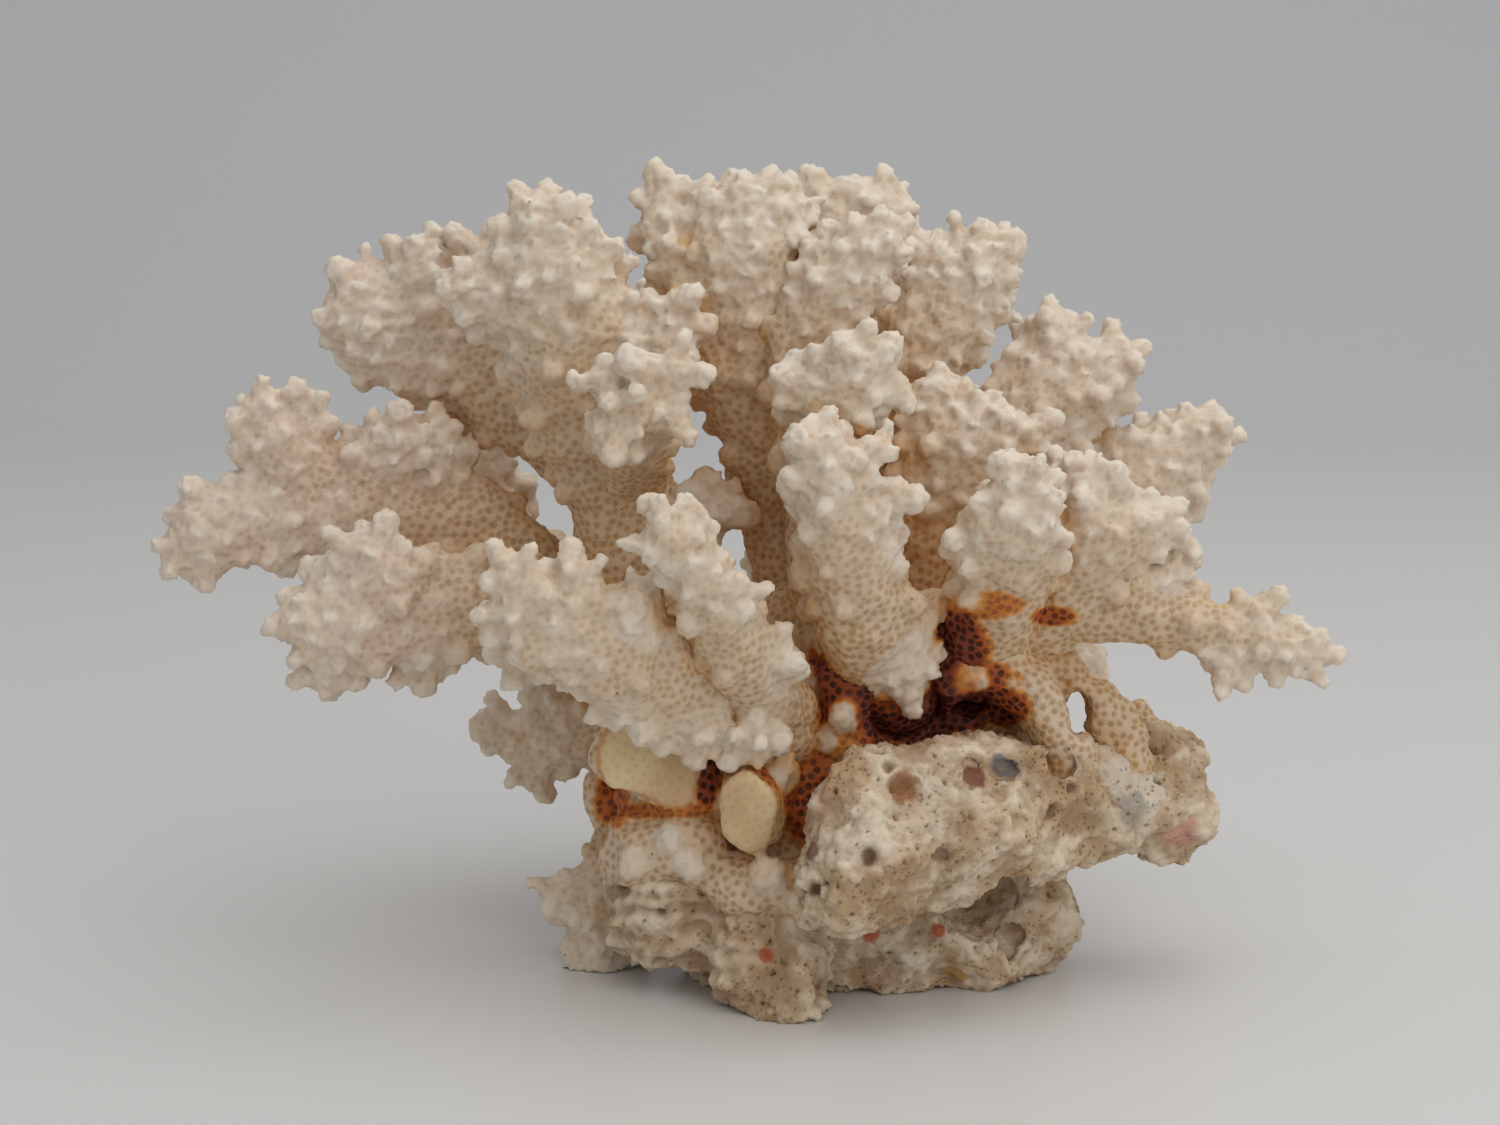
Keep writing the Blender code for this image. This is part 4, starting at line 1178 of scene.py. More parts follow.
@dataclass
class Rubble(Dressing):
    """The lump of bored reef rock.

    Args:
        growth: its ellipsoids.
        hollows: the bored holes and recesses.
        slot: the material slot; not used.
        voxel: size of the last skin's cells, mm.
        coarse_voxels: size of the cells before and after the lumps, mm.
        lumps: how far apart the lumps are, and how high, mm.
    """

    growth: Growth
    hollows: list[tuple[float, ...]]
    slot: Slot = Slot.RUBBLE
    voxel: float = 0.45
    coarse_voxels: tuple[float, float] = (0.9, 0.6)
    lumps: tuple[float, float] = (7.0, 5.2)

    def build(self, shade: Shade) -> bpy.types.Object:
        """Model the rock.

        Args:
            shade: the measure of enclosure.

        Returns:
            The finished object, without a material.
        """
        clay = Clay()
        self.growth.fill(clay)
        piece = clay.finish("rubble_base_skin")
        add_skin(piece, self.coarse_voxels[0])
        add_lumps(piece, *self.lumps)
        add_skin(piece, self.coarse_voxels[1])
        bake(piece)
        take_away(piece, hollows_of(self.hollows))
        take_away(piece, ground())
        add_skin(piece, self.voxel)
        add_smoothing(piece, 1)
        bake(piece)
        rng = np.random.default_rng(SEED + 300)
        # Enclosure, which the finish paints as shade.
        closed = shade.on(piece.data, 2.0, rng)
        self._weather(piece.data, rng)
        self.rest(piece.data)
        write_attribute(piece.data, "closed", closed)
        piece.data.shade_smooth()
        return piece

    @staticmethod
    def _weather(mesh: bpy.types.Mesh, rng: np.random.Generator) -> None:
        """Give the rock its ledges, crumbs and pores.

        Args:
            mesh: the mesh.
            rng: the source of chance.
        """
        spots, normals = positions_of(mesh), normals_of(mesh)
        push = np.empty(len(spots))
        for index, spot in enumerate(spots):
            place = Vector(spot)
            ledge = noise.ridged_multi_fractal(place * 0.13, 0.9, 2.1, 4, 0.9, 2.0)
            crumb = noise.turbulence(place * 0.5, 5, True)
            layer = math.sin(spot[2] * 2.1 + 5.0 * noise.noise(place * 0.15))
            layer *= smooth_step(4.0 - spot[0], 0.0, 8.0)
            push[index] = 0.8 * (ledge - 1.1) + 0.9 * (crumb - 0.5) + 0.3 * layer
        pores = spread(spots, 1.9, rng)
        wide = rng.random(len(pores)) < 0.08
        widths = np.where(wide, rng.uniform(0.8, 1.3, len(pores)), rng.uniform(0.2, 0.5, len(pores)))
        chosen = wide | (rng.random(len(pores)) < 0.4)
        pores, widths = pores[chosen], widths[chosen]
        pore = np.zeros(len(spots))
        sink = np.zeros(len(spots))
        tree = tree_of(spots)
        for centre, width in zip(spots[pores], widths):
            for _, near, far in tree.find_range(centre, width):
                depth = math.sqrt(max(0.0, 1.0 - (far / width) ** 2))
                pore[near] = max(pore[near], depth)
                sink[near] = max(sink[near], depth * 1.4 * width)
        write_positions(mesh, spots + normals * (push - sink)[:, None])
        write_attribute(mesh, "pore", pore)
        # The relief is kept too, for the painted shade in its dents and the painted highlight on its raised
        # parts.
        write_attribute(mesh, "dent", push)


class Graph:
    """Lays out the nodes of one shader or group.

    Args:
        tree: the node tree to fill.
    """

    def __init__(self, tree: bpy.types.NodeTree) -> None:
        """Keep the tree."""
        self.tree = tree

    def add(self, kind: str, **settings: object) -> bpy.types.Node:
        """Add a node and set its properties.

        Args:
            kind: its type.
            settings: its properties.

        Returns:
            The node.
        """
        node = self.tree.nodes.new(kind)
        for name, value in settings.items():
            setattr(node, name, value)
        return node

    def put(self, value: object, socket: bpy.types.NodeSocket) -> None:
        """Feed a socket from another one, or with a constant.

        Args:
            value: a socket or a constant.
            socket: what it goes into.
        """
        if isinstance(value, bpy.types.NodeSocket):
            self.tree.links.new(value, socket)
        else:
            socket.default_value = value

    def math(self, operation: str, *values: object) -> bpy.types.NodeSocket:
        """Combine numbers.

        Args:
            operation: how.
            values: what goes into its inputs.

        Returns:
            The result.
        """
        node = self.add("ShaderNodeMath", operation=operation)
        for value, socket in zip(values, node.inputs):
            self.put(value, socket)
        return node.outputs[0]

    def vector(self, operation: str, *values: object) -> bpy.types.Node:
        """Combine vectors.

        Args:
            operation: how.
            values: what goes into its inputs.

        Returns:
            The node.
        """
        node = self.add("ShaderNodeVectorMath", operation=operation)
        for value, socket in zip(values, node.inputs):
            self.put(value, socket)
        return node

    def ramp(
        self, value: object, low: float, high: float, start: float = 0.0, end: float = 1.0
    ) -> bpy.types.NodeSocket:
        """Ease from start to end while a number goes from low to high.

        Args:
            value: the number.
            low: where it starts to change.
            high: where it has changed.
            start: the result at low.
            end: the result at high.

        Returns:
            The eased number.
        """
        node = self.add("ShaderNodeMapRange", interpolation_type="SMOOTHSTEP")
        for item, socket in zip((value, low, high, start, end), node.inputs):
            self.put(item, socket)
        return node.outputs[0]

    def mix(self, share: object, first: object, second: object) -> bpy.types.NodeSocket:
        """Blend two colours.

        Args:
            share: of the second one.
            first: a colour.
            second: a colour.

        Returns:
            The blend.
        """
        node = self.add("ShaderNodeMix", data_type="RGBA")
        self.put(share, node.inputs["Factor"])
        self.put(first, node.inputs[6])
        self.put(second, node.inputs[7])
        return node.outputs[2]

    def noise(self, place: object, size: float, detail: float = 2.0) -> bpy.types.Node:
        """Add smooth noise.

        Args:
            place: the coordinates.
            size: of its features, mm.
            detail: how many finer octaves.

        Returns:
            The node.
        """
        node = self.add("ShaderNodeTexNoise")
        self.put(place, node.inputs["Vector"])
        node.inputs["Scale"].default_value = 1.0 / (size * MM)
        node.inputs["Detail"].default_value = detail
        return node

    def attribute(self, name: str) -> bpy.types.Node:
        """Read one of a mesh's own attributes."""
        return self.add("ShaderNodeAttribute", attribute_name=name)

    def place(self) -> bpy.types.NodeSocket:
        """Read the place on the object."""
        return self.add("ShaderNodeTexCoord").outputs["Object"]

    def group(self, tree: bpy.types.NodeTree) -> bpy.types.Node:
        """Use a node group."""
        return self.add("ShaderNodeGroup", node_tree=tree)


def tint(red: int, green: int, blue: int) -> tuple[float, float, float, float]:
    """Turn a screen colour into the linear colour that shaders take.

    Args:
        red: 0 to 255.
        green: 0 to 255.
        blue: 0 to 255.

    Returns:
        The colour, with an alpha of 1.
    """
    linear = []
    for part in (red / 255.0, green / 255.0, blue / 255.0):
        linear.append(part / 12.92 if part <= 0.04045 else ((part + 0.055) / 1.055) ** 2.4)
    return (*linear, 1.0)


def new_group(name: str, outputs: tuple[str, ...]) -> tuple[Graph, bpy.types.Node]:
    """Start a node group with float outputs.

    Args:
        name: of the group.
        outputs: names of its outputs.

    Returns:
        The graph to fill, and its output node.
    """
    tree = bpy.data.node_groups.new(name, "ShaderNodeTree")
    for output in outputs:
        tree.interface.new_socket(output, in_out="OUTPUT", socket_type="NodeSocketFloat")
    graph = Graph(tree)
    return graph, graph.add("NodeGroupOutput")


@dataclass(frozen=True)
class Well:
    """A stained patch as seen on the drawing.

    Args:
        x: its middle to the right, mm.
        z: its middle up, mm.
        wide: half width, mm.
        high: half height, mm.
        depth: how dark it gets, 0 to 1.
    """

    x: float
    z: float
    wide: float
    high: float
    depth: float = 1.0


@dataclass(frozen=True)
class Effects:
    """The node groups that several finishes share.

    Args:
        wells: the places that the rust stain spread from.
    """

    wells: tuple[Well, ...]

    def cups(self) -> bpy.types.NodeTree:
        """Mark the inside and the lip of each cup, where the coral finish paints shade and a highlight.

        Returns:
            The node group.
        """
        graph, out = new_group("cups", ("Inside", "Wide", "Lip"))
        far = graph.vector("LENGTH", graph.attribute("cup").outputs["Vector"]).outputs["Value"]
        strength = graph.attribute("cup_strength").outputs["Fac"]
        inside = graph.math("MULTIPLY", graph.ramp(far, 0.24, 0.42, 1.0, 0.0), strength)
        lip = graph.ramp(graph.attribute("cup_far").outputs["Fac"], 0.38, 0.58)
        wide = graph.math("MULTIPLY", graph.ramp(far, 0.36, 0.54, 1.0, 0.0), strength)
        graph.put(inside, out.inputs["Inside"])
        graph.put(wide, out.inputs["Wide"])
        graph.put(graph.math("MULTIPLY", lip, strength), out.inputs["Lip"])
        return graph.tree

    def stain(self) -> bpy.types.NodeTree:
        """Mark how deep the rust stain is, and how far behind the drawing each place is.

        Returns:
            The node group.
        """
        graph, out = new_group("rust_stain", ("Stain", "Depth"))
        place = graph.place()
        axes = graph.add("ShaderNodeSeparateXYZ")
        graph.put(place, axes.inputs[0])
        reach = graph.math("MULTIPLY_ADD", axes.outputs["Y"], -1.0 / (EYE.y * MM), 1.0)
        x = graph.math("DIVIDE", axes.outputs["X"], reach)
        up = graph.math("SUBTRACT", axes.outputs["Z"], EYE.z * MM)
        z = graph.math("ADD", graph.math("DIVIDE", up, reach), EYE.z * MM)
        wobble = graph.noise(place, 4.0, 4.0).outputs["Fac"]
        total: object = 0.0
        for well in self.wells:
            across = graph.math("DIVIDE", graph.math("SUBTRACT", x, well.x * MM), well.wide * MM)
            along = graph.math("DIVIDE", graph.math("SUBTRACT", z, well.z * MM), well.high * MM)
            square = graph.math("ADD", graph.math("POWER", across, 2.0), graph.math("POWER", along, 2.0))
            far = graph.math("MULTIPLY_ADD", wobble, 0.9, graph.math("SQRT", square))
            total = graph.math("MAXIMUM", total, graph.ramp(far, 1.05, 1.6, well.depth, 0.0))
        graph.put(total, out.inputs["Stain"])
        graph.put(axes.outputs["Y"], out.inputs["Depth"])
        return graph.tree

    def dust(self) -> bpy.types.NodeTree:
        """Mark broad mottling, fine grain and a few dark specks.

        Returns:
            The node group.
        """
        graph, out = new_group("dust", ("Mottle", "Grain", "Specks"))
        place = graph.place()
        graph.put(graph.noise(place, 14.0, 3.0).outputs["Fac"], out.inputs["Mottle"])
        graph.put(graph.noise(place, 0.5, 2.0).outputs["Fac"], out.inputs["Grain"])
        cells = graph.add("ShaderNodeTexVoronoi")
        graph.put(place, cells.inputs["Vector"])
        cells.inputs["Scale"].default_value = 1.0 / (4.0 * MM)
        pick = graph.add("ShaderNodeSeparateColor")
        graph.put(cells.outputs["Color"], pick.inputs[0])
        chosen = graph.math("GREATER_THAN", pick.outputs[0], 0.93)
        dot = graph.ramp(cells.outputs["Distance"], 0.03, 0.07, 1.0, 0.0)
        graph.put(graph.math("MULTIPLY", dot, chosen), out.inputs["Specks"])
        return graph.tree


@dataclass(frozen=True)
class CoralFinish:
    """The look of bare coral skeleton.

    Args:
        name: of the material.
        open_tint: on places in the open.
        tan_and_half_shade_tint: painted half shade where neighbours close in, and the tan that mottles the
            broken faces.
        deep_painted_shade_tint: painted deep shade between the limbs.
        pink_tint: mixed in on the far left.
        pale_tip_and_highlight_tint: the paler tips, with a painted highlight on the knob tops near them and
            on the cup lips.
        cup_painted_shade_tint: painted shade inside the cups.
        cup_shade_share: how strong the painted shade inside the cups is.
        broken_tint: on the broken faces.
        fade: the depths in mm between which the stain sets in.
        back_fade: the depths in mm between which it ends.
        roughness: of the surface.
        subsurface: share of the light that goes through it.
    """

    name: str
    open_tint: tuple[int, int, int] = (206, 180, 148)
    tan_and_half_shade_tint: tuple[int, int, int] = (208, 175, 133)
    deep_painted_shade_tint: tuple[int, int, int] = (212, 168, 112)
    pink_tint: tuple[int, int, int] = (209, 179, 156)
    pale_tip_and_highlight_tint: tuple[int, int, int] = (232, 221, 206)
    cup_painted_shade_tint: tuple[int, int, int] = (160, 120, 84)
    broken_tint: tuple[int, int, int] = (232, 212, 168)
    cup_shade_share: float = 0.4
    fade: tuple[float, float] = (-14.0, -9.0)
    back_fade: tuple[float, float] = (5.0, 13.0)
    roughness: float = 0.6
    subsurface: float = 0.3

    def build(self, groups: dict[str, bpy.types.NodeTree]) -> bpy.types.Material:
        """Make the material.

        Args:
            groups: the node groups by name.

        Returns:
            The material.
        """
        made = bpy.data.materials.new(self.name)
        made.use_nodes = True
        graph = Graph(made.node_tree)
        shader = made.node_tree.nodes["Principled BSDF"]
        dust = graph.group(groups["dust"])
        cups = graph.group(groups["cups"])
        rust = graph.group(groups["stain"])
        depth = rust.outputs["Depth"]
        inward = graph.ramp(depth, self.fade[0] * MM, self.fade[1] * MM)
        ended = graph.ramp(depth, self.back_fade[0] * MM, self.back_fade[1] * MM, 1.0, 0.0)
        stain = graph.math("MULTIPLY", rust.outputs["Stain"], graph.math("MULTIPLY", inward, ended))
        closed = graph.attribute("closed").outputs["Fac"]
        knob = graph.attribute("knob").outputs["Fac"]
        tip = graph.attribute("tip").outputs["Fac"]
        # Painted shade: warmer, then deeper tan where neighbours close a place in, varied by random mottling
        # and eased off towards the tips.
        near = graph.math("ADD", closed, graph.ramp(dust.outputs["Mottle"], 0.3, 0.7, -0.12, 0.12))
        near = graph.math("SUBTRACT", near, graph.ramp(tip, 0.3, 1.0, 0.0, 0.2))
        colour = graph.mix(graph.ramp(near, 0.0, 0.3), tint(*self.open_tint), tint(*self.tan_and_half_shade_tint))
        colour = graph.mix(graph.ramp(near, 0.3, 0.6), colour, tint(*self.deep_painted_shade_tint))
        across = graph.add("ShaderNodeSeparateXYZ")
        graph.put(graph.place(), across.inputs[0])
        leftward = graph.ramp(across.outputs["X"], -0.03, -0.05, 0.0, 0.6)
        colour = graph.mix(leftward, colour, tint(*self.pink_tint))
        # Partly real, partly painted light: the tips are paler, the knob tops near them get a painted
        # highlight, and painted shade holds the whitening back where neighbours close in.
        pale_tips_and_painted_highlight = graph.math("MULTIPLY", graph.ramp(knob, 0.1, 1.0), graph.ramp(tip, 0.35, 0.95, 0.15, 0.38))
        pale_tips_and_painted_highlight = graph.math("ADD", pale_tips_and_painted_highlight, graph.ramp(tip, 0.5, 1.0, 0.0, 0.55))
        pale_tips_and_painted_highlight = graph.math("MULTIPLY", pale_tips_and_painted_highlight, graph.ramp(closed, 0.3, 0.8, 0.9, 0.15))
        colour = graph.mix(pale_tips_and_painted_highlight, colour, tint(*self.pale_tip_and_highlight_tint))
        # Painted highlight on the lip of each cup.
        colour = graph.mix(graph.math("MULTIPLY", cups.outputs["Lip"], 0.25), colour, tint(*self.pale_tip_and_highlight_tint))
        broken = graph.attribute("broken").outputs["Fac"]
        mottled = graph.ramp(dust.outputs["Mottle"], 0.35, 0.65)
        fresh = graph.mix(mottled, tint(*self.broken_tint), tint(*self.tan_and_half_shade_tint))
        colour = graph.mix(broken, colour, fresh)
        edge = graph.math("MULTIPLY", broken, graph.math("SUBTRACT", 1.0, broken))
        colour = graph.mix(graph.math("MULTIPLY", edge, 2.4), colour, tint(196, 126, 56))
        knobbly = graph.math("MULTIPLY", knob, graph.ramp(tip, 0.3, 0.8))
        bare = graph.math("MULTIPLY_ADD", knobbly, -0.75, stain)
        bare = graph.math("MULTIPLY_ADD", broken, -0.8, bare)
        colour = graph.mix(graph.ramp(bare, 0.02, 0.3), colour, tint(216, 146, 70))
        colour = graph.mix(graph.ramp(bare, 0.22, 0.55), colour, tint(184, 94, 38))
        colour = graph.mix(graph.ramp(bare, 0.5, 0.95), colour, tint(130, 64, 44))
        # Painted shade inside the cups.
        inside = graph.math("MULTIPLY", cups.outputs["Inside"], self.cup_shade_share)
        colour = graph.mix(inside, colour, tint(*self.cup_painted_shade_tint))
        # Partly rust soaked into the cups, partly painted shade in them: the stained cups go darker still.
        rust_and_shade_in_cups = graph.math("MULTIPLY", cups.outputs["Wide"], graph.ramp(bare, 0.12, 0.6, 0.0, 0.92))
        dark = graph.mix(graph.ramp(bare, 0.3, 0.8), tint(130, 62, 36), tint(58, 20, 18))
        colour = graph.mix(rust_and_shade_in_cups, colour, dark)
        colour = graph.mix(graph.math("MULTIPLY", dust.outputs["Specks"], 0.7), colour, tint(84, 60, 46))
        graph.put(colour, shader.inputs["Base Color"])
        shader.inputs["Roughness"].default_value = self.roughness
        shader.inputs["Specular IOR Level"].default_value = 0.3
        shader.inputs["Subsurface Weight"].default_value = self.subsurface
        shader.inputs["Subsurface Radius"].default_value = (1.0, 0.62, 0.4)
        shader.inputs["Subsurface Scale"].default_value = 2.0 * MM
        bump = graph.add("ShaderNodeBump")
        bump.inputs["Distance"].default_value = 0.2 * MM
        bump.inputs["Strength"].default_value = 0.6
        height = graph.math("MULTIPLY_ADD", dust.outputs["Grain"], 0.5, cups.outputs["Lip"])
        graph.put(height, bump.inputs["Height"])
        graph.put(bump.outputs["Normal"], shader.inputs["Normal"])
        return made


@dataclass(frozen=True)
class Patch:
    """A coloured patch on the rubble: where it shows on the drawing, its radius and its colour."""

    x: float
    z: float
    radius: float
    colour: tuple[int, int, int]
    strength: float = 0.8


@dataclass(frozen=True)
class RubbleFinish:
    """The look of the weathered rubble, with painted shade in its dents, pores, pin pricks and closed-in
    places, and a painted highlight on its raised parts.

    Args:
        name: of the material.
        patches: its coloured patches with their places in mm.
    """

    name: str
    patches: tuple[tuple[Patch, Vector], ...]

    def build(self, groups: dict[str, bpy.types.NodeTree]) -> bpy.types.Material:
        """Make the material.

        Args:
            groups: the node groups by name.

        Returns:
            The material.
        """
        made = bpy.data.materials.new(self.name)
        made.use_nodes = True
        graph = Graph(made.node_tree)
        shader = made.node_tree.nodes["Principled BSDF"]
        dust = graph.group(groups["dust"])
        stain = graph.group(groups["stain"]).outputs["Stain"]
        closed = graph.attribute("closed").outputs["Fac"]
        pore = graph.attribute("pore").outputs["Fac"]
        dent = graph.attribute("dent").outputs["Fac"]
        place = graph.place()
        cloud = graph.noise(place, 6.0, 6.0).outputs["Fac"]
        colour = graph.mix(graph.ramp(cloud, 0.35, 0.65), tint(228, 211, 186), tint(190, 160, 124))
        mottled = graph.ramp(dust.outputs["Mottle"], 0.5, 0.72, 0.0, 0.5)
        colour = graph.mix(mottled, colour, tint(212, 200, 182))
        # Painted shade in the dents of the relief, and painted highlight on its raised parts.
        colour = graph.mix(graph.ramp(dent, 0.1, -0.8, 0.0, 0.7), colour, tint(160, 128, 94))
        colour = graph.mix(graph.ramp(dent, 0.4, 1.3, 0.0, 0.35), colour, tint(232, 220, 202))
        # Painted shade where the rock is closed in.
        colour = graph.mix(graph.ramp(closed, 0.45, 0.9, 0.0, 0.6), colour, tint(168, 134, 98))
        wobble = graph.noise(place, 1.6, 3.0).outputs["Fac"]
        for patch, centre in self.patches:
            far = graph.vector("DISTANCE", place, tuple(centre * MM)).outputs["Value"]
            reach = graph.math("MULTIPLY_ADD", wobble, patch.radius * 1.2 * MM, far)
            low, high = patch.radius * 1.3 * MM, patch.radius * 1.8 * MM
            share = graph.ramp(reach, low, high, patch.strength, 0.0)
            colour = graph.mix(share, colour, tint(*patch.colour))
        # Painted shade inside the pores.
        colour = graph.mix(graph.ramp(pore, 0.2, 0.9, 0.0, 0.7), colour, tint(122, 88, 60))
        # Fine pin pricks: dented by the bump and darkened as painted shade in them.
        cells = graph.add("ShaderNodeTexVoronoi")
        graph.put(place, cells.inputs["Vector"])
        cells.inputs["Scale"].default_value = 1.0 / (0.9 * MM)
        prick = graph.ramp(cells.outputs["Distance"], 0.12, 0.3, 1.0, 0.0)
        pin = graph.math("MULTIPLY", prick, graph.ramp(cloud, 0.4, 0.6))
        colour = graph.mix(graph.math("MULTIPLY", pin, 0.55), colour, tint(134, 100, 70))
        colour = graph.mix(graph.ramp(stain, 0.2, 0.9, 0.0, 0.4), colour, tint(128, 62, 34))
        colour = graph.mix(graph.math("MULTIPLY", dust.outputs["Specks"], 0.8), colour, tint(84, 44, 34))
        graph.put(colour, shader.inputs["Base Color"])
        shader.inputs["Roughness"].default_value = 0.8
        shader.inputs["Specular IOR Level"].default_value = 0.3
        bump = graph.add("ShaderNodeBump")
        bump.inputs["Distance"].default_value = 0.7 * MM
        bump.inputs["Strength"].default_value = 0.8
        rough = graph.noise(place, 1.2, 6.0).outputs["Fac"]
        graph.put(graph.math("MULTIPLY_ADD", pin, -0.35, rough), bump.inputs["Height"])
        graph.put(bump.outputs["Normal"], shader.inputs["Normal"])
        return made


@dataclass(frozen=True)
class Studio:
    """A pale sweep under soft light, and the camera.

    Args:
        floor: the sweep's tint near the camera.
        top: its tint at the back, a little darker: painted shade.
        run: how far the floor goes back before it bends, m.
        bend: radius of the bend, m.
        surroundings: strength of the light from all round.
    """

    floor: tuple[int, int, int] = (219, 218, 216)
    top: tuple[int, int, int] = (206, 206, 207)
    run: float = 0.5
    bend: float = 0.35
    surroundings: float = 0.46

    def build(self) -> None:
        """Make the sweep, the lights, the surroundings and the camera."""
        self._sweep()
        self._light("overhead", (0.2, -0.05, 0.62), (0.06, 0.0, 0.03), 0.7, 1.9)
        self._light("front", (0.34, -0.6, 0.4), (0.0, 0.0, 0.05), 0.5, 1.1)
        world = bpy.data.worlds.new("tent")
        world.use_nodes = True
        world.node_tree.nodes["Background"].inputs["Color"].default_value = (1.0, 1.0, 1.0, 1.0)
        world.node_tree.nodes["Background"].inputs["Strength"].default_value = self.surroundings
        bpy.context.scene.world = world
        bpy.context.scene.view_settings.view_transform = "Standard"
        self._camera()

    def _sweep(self) -> bpy.types.Object:
        """Make the floor that curves up into the backdrop.

        Returns:
            The sweep.
        """
        bm = bmesh.new()
        bmesh.ops.create_grid(bm, x_segments=8, y_segments=120, size=1.0)
        for vert in bm.verts:
            along = vert.co.y + 0.2
            past = max(0.0, along - self.run)
            angle = min(past / self.bend, math.pi / 2)
            vert.co.x *= 1.4
            vert.co.y = min(along, self.run) + self.bend * math.sin(angle)
            vert.co.z = self.bend * (1.0 - math.cos(angle)) + max(0.0, past - self.bend * math.pi / 2)
        sweep = object_of("sweep", bm)
        sweep.data.shade_smooth()
        made = bpy.data.materials.new("sweep")
        made.use_nodes = True
        graph = Graph(made.node_tree)
        shader = made.node_tree.nodes["Principled BSDF"]
        depth = graph.add("ShaderNodeSeparateXYZ")
        graph.put(graph.place(), depth.inputs[0])
        # Painted shade: the sweep darkens a little towards the back.
        share = graph.ramp(depth.outputs["Y"], 0.05, 0.9)
        graph.put(graph.mix(share, tint(*self.floor), tint(*self.top)), shader.inputs["Base Color"])
        shader.inputs["Roughness"].default_value = 0.35
        sweep.data.materials.append(made)
        return sweep

    @staticmethod
    def _light(
        name: str, spot: tuple[float, ...], target: tuple[float, ...], size: float, power: float
    ) -> None:
        """Hang one soft square light.

        Args:
            name: of the light.
            spot: where it hangs, m.
            target: the place that it faces, m.
            size: its side, m.
            power: in watts.
        """
        lamp = bpy.data.lights.new(name, "AREA")
        lamp.size = size
        lamp.energy = power
        hung = bpy.data.objects.new(name, lamp)
        hung.location = spot
        hung.rotation_mode = "QUATERNION"
        hung.rotation_quaternion = (Vector(target) - Vector(spot)).to_track_quat("-Z", "Y")
        bpy.context.scene.collection.objects.link(hung)

    @staticmethod
    def _camera() -> None:
        """Stand the camera where the photo was taken from."""
        lens = bpy.data.cameras.new("camera")
        lens.lens = LENS_MM
        lens.clip_start = 0.01
        camera = bpy.data.objects.new("camera", lens)
        camera.location = EYE * MM
        camera.rotation_mode = "QUATERNION"
        camera.rotation_quaternion = (AIM - EYE).to_track_quat("-Z", "Y")
        bpy.context.scene.collection.objects.link(camera)
        bpy.context.scene.camera = camera


# Where the stain spread from, on the front drawing.
WELLS = (
    Well(22, 35.5, 12, 7.5), Well(12.5, 38, 6, 8, 0.8), Well(16, 45.5, 5, 2.6, 0.45), Well(26, 42, 5, 6, 0.9),
    Well(30.5, 48, 5.5, 2.2, 0.4), Well(39, 46.6, 3.6, 1.5, 0.55), Well(6, 30, 7, 8, 0.5),
    Well(8, 22, 4.5, 6.5, 0.6), Well(-5.6, 26, 2, 6, 0.8),
    Well(-11, 21, 8, 1.2, 0.4), Well(-17.8, 22.6, 2.4, 4.2, 0.5), Well(32.5, 34.6, 4, 3, 0.7),
)
BACK_VOXEL = 0.62  # mm, for the limbs at the back, which are out of focus in the photo
# Limbs that the stain reaches at their roots, further to the front than on the others.
SPLASHED = ("right_front_plate", "right_fan", "right_arm", "right_mid_fan")
# Knobs of the foot that the photo shows: x, z, radius and height, in mm.
NUBS = (
    (9.6, 43.6, 1.5, 2.0), (12.4, 43.8, 1.5, 2.0), (8.4, 45, 1.3, 1.6),
    (12, 33.4, 1.8, 2.2), (3.6, 31.6, 1.6, 2.0), (6.4, 31.9, 1.3, 1.8), (4.1, 26, 1.9, 1.8),
    (6.9, 36.8, 1.8, 2.0),
    (5.9, 39, 1.4, 2.0), (5.4, 42.7, 1.7, 2.4), (9.4, 30.6, 1.2, 1.4), (15.6, 46.4, 1.6, 2.0),
    (28.6, 38.4, 1.6, 1.6),
    (-11, 17.4, 1.7, 1.2), (-15.4, 14, 1.6, 1.2), (-8, 13.6, 1.6, 1.0), (2.4, 12.2, 1.8, 0.9),
    (7.4, 8.6, 1.7, 0.9),
)
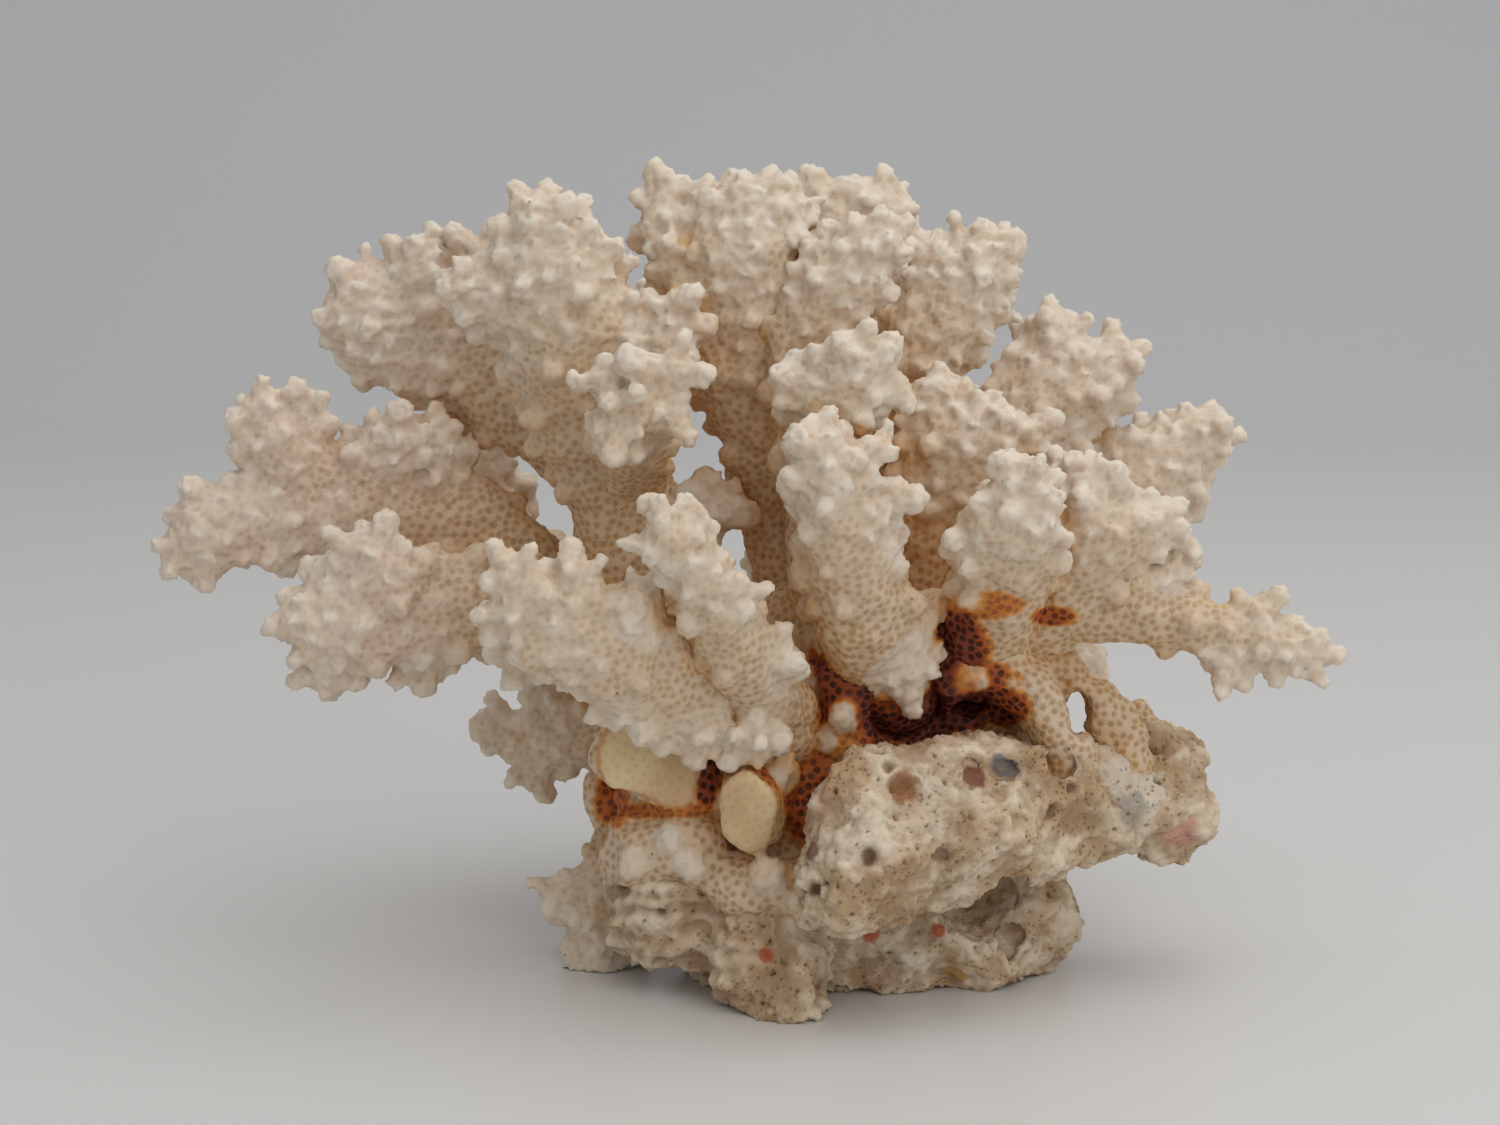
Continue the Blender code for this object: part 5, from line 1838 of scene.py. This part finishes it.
# The grey patch at (33, 27.5), in a bored hole, and the darker tan patch at (32, 10), over the recess below
# the right, are painted shade.
PATCHES = (
    Patch(7.8, 15.5, 1.4, (92, 22, 22)), Patch(16, 4.5, 1.2, (190, 70, 30)),
    Patch(24.5, 5, 1.0, (190, 76, 36)), Patch(2, 1.5, 1.0, (180, 80, 40)),
    Patch(56, 18, 2.6, (214, 152, 140), 0.6), Patch(27, -1, 1.6, (190, 140, 60)),
    Patch(20, 24, 2.2, (140, 80, 30)), Patch(29, 25.5, 1.6, (110, 40, 26)),
    Patch(33, 27.5, 2.2, (96, 96, 100)),
    Patch(50, 25, 5.0, (224, 214, 196), 0.7), Patch(50, 21.5, 2.8, (140, 136, 128), 0.6),
    Patch(32, 10, 6.0, (170, 150, 124), 0.5),
)


def main() -> None:
    """Build the rock, the foot and the limbs, dress them, and light them."""
    logging.basicConfig(level=logging.INFO, format="%(message)s")
    shade = Shade()
    sight = Sight.onto(["rubble_base"])
    effects = Effects(WELLS)
    groups = {"cups": effects.cups(), "stain": effects.stain(), "dust": effects.dust()}
    skeleton = CoralFinish("coral_skeleton").build(groups)
    splashed = CoralFinish("splashed_skeleton", fade=(-26.0, -20.0)).build(groups)
    stained = CoralFinish("stained_coral", cup_shade_share=0.5, fade=(-60.0, -50.0)).build(groups)
    patches = tuple((patch, sight.hit(patch.x, patch.z)) for patch in PATCHES)
    rubble = RubbleFinish("rubble", patches).build(groups)
    rock = Rubble(Growth("rubble_base", ROCK["rubble_base"], 0, False), HOLLOWS["rubble_base"])
    rock.dress(rock.build(shade), rubble)
    for order, (name, limbs) in enumerate(COLONY.items(), 1):
        foot = name == "colony_foot"
        slot = Slot.STAINED if foot else Slot.SKELETON
        growth = Growth(name, limbs, order, not foot)
        voxel = BACK_VOXEL if "back" in name or name == "far_right_limb" else Branch.voxel
        branch = Branch(growth, slot, voxel, HOLLOWS.get(name, []), BREAKS.get(name, []))
        if foot:
            branch.add_nubs(NUBS, Sight.onto([name]))
        bare = splashed if name in SPLASHED else skeleton
        branch.dress(branch.build(shade), stained if foot else bare)
    Studio().build()


if __name__ == "__main__":
    main()
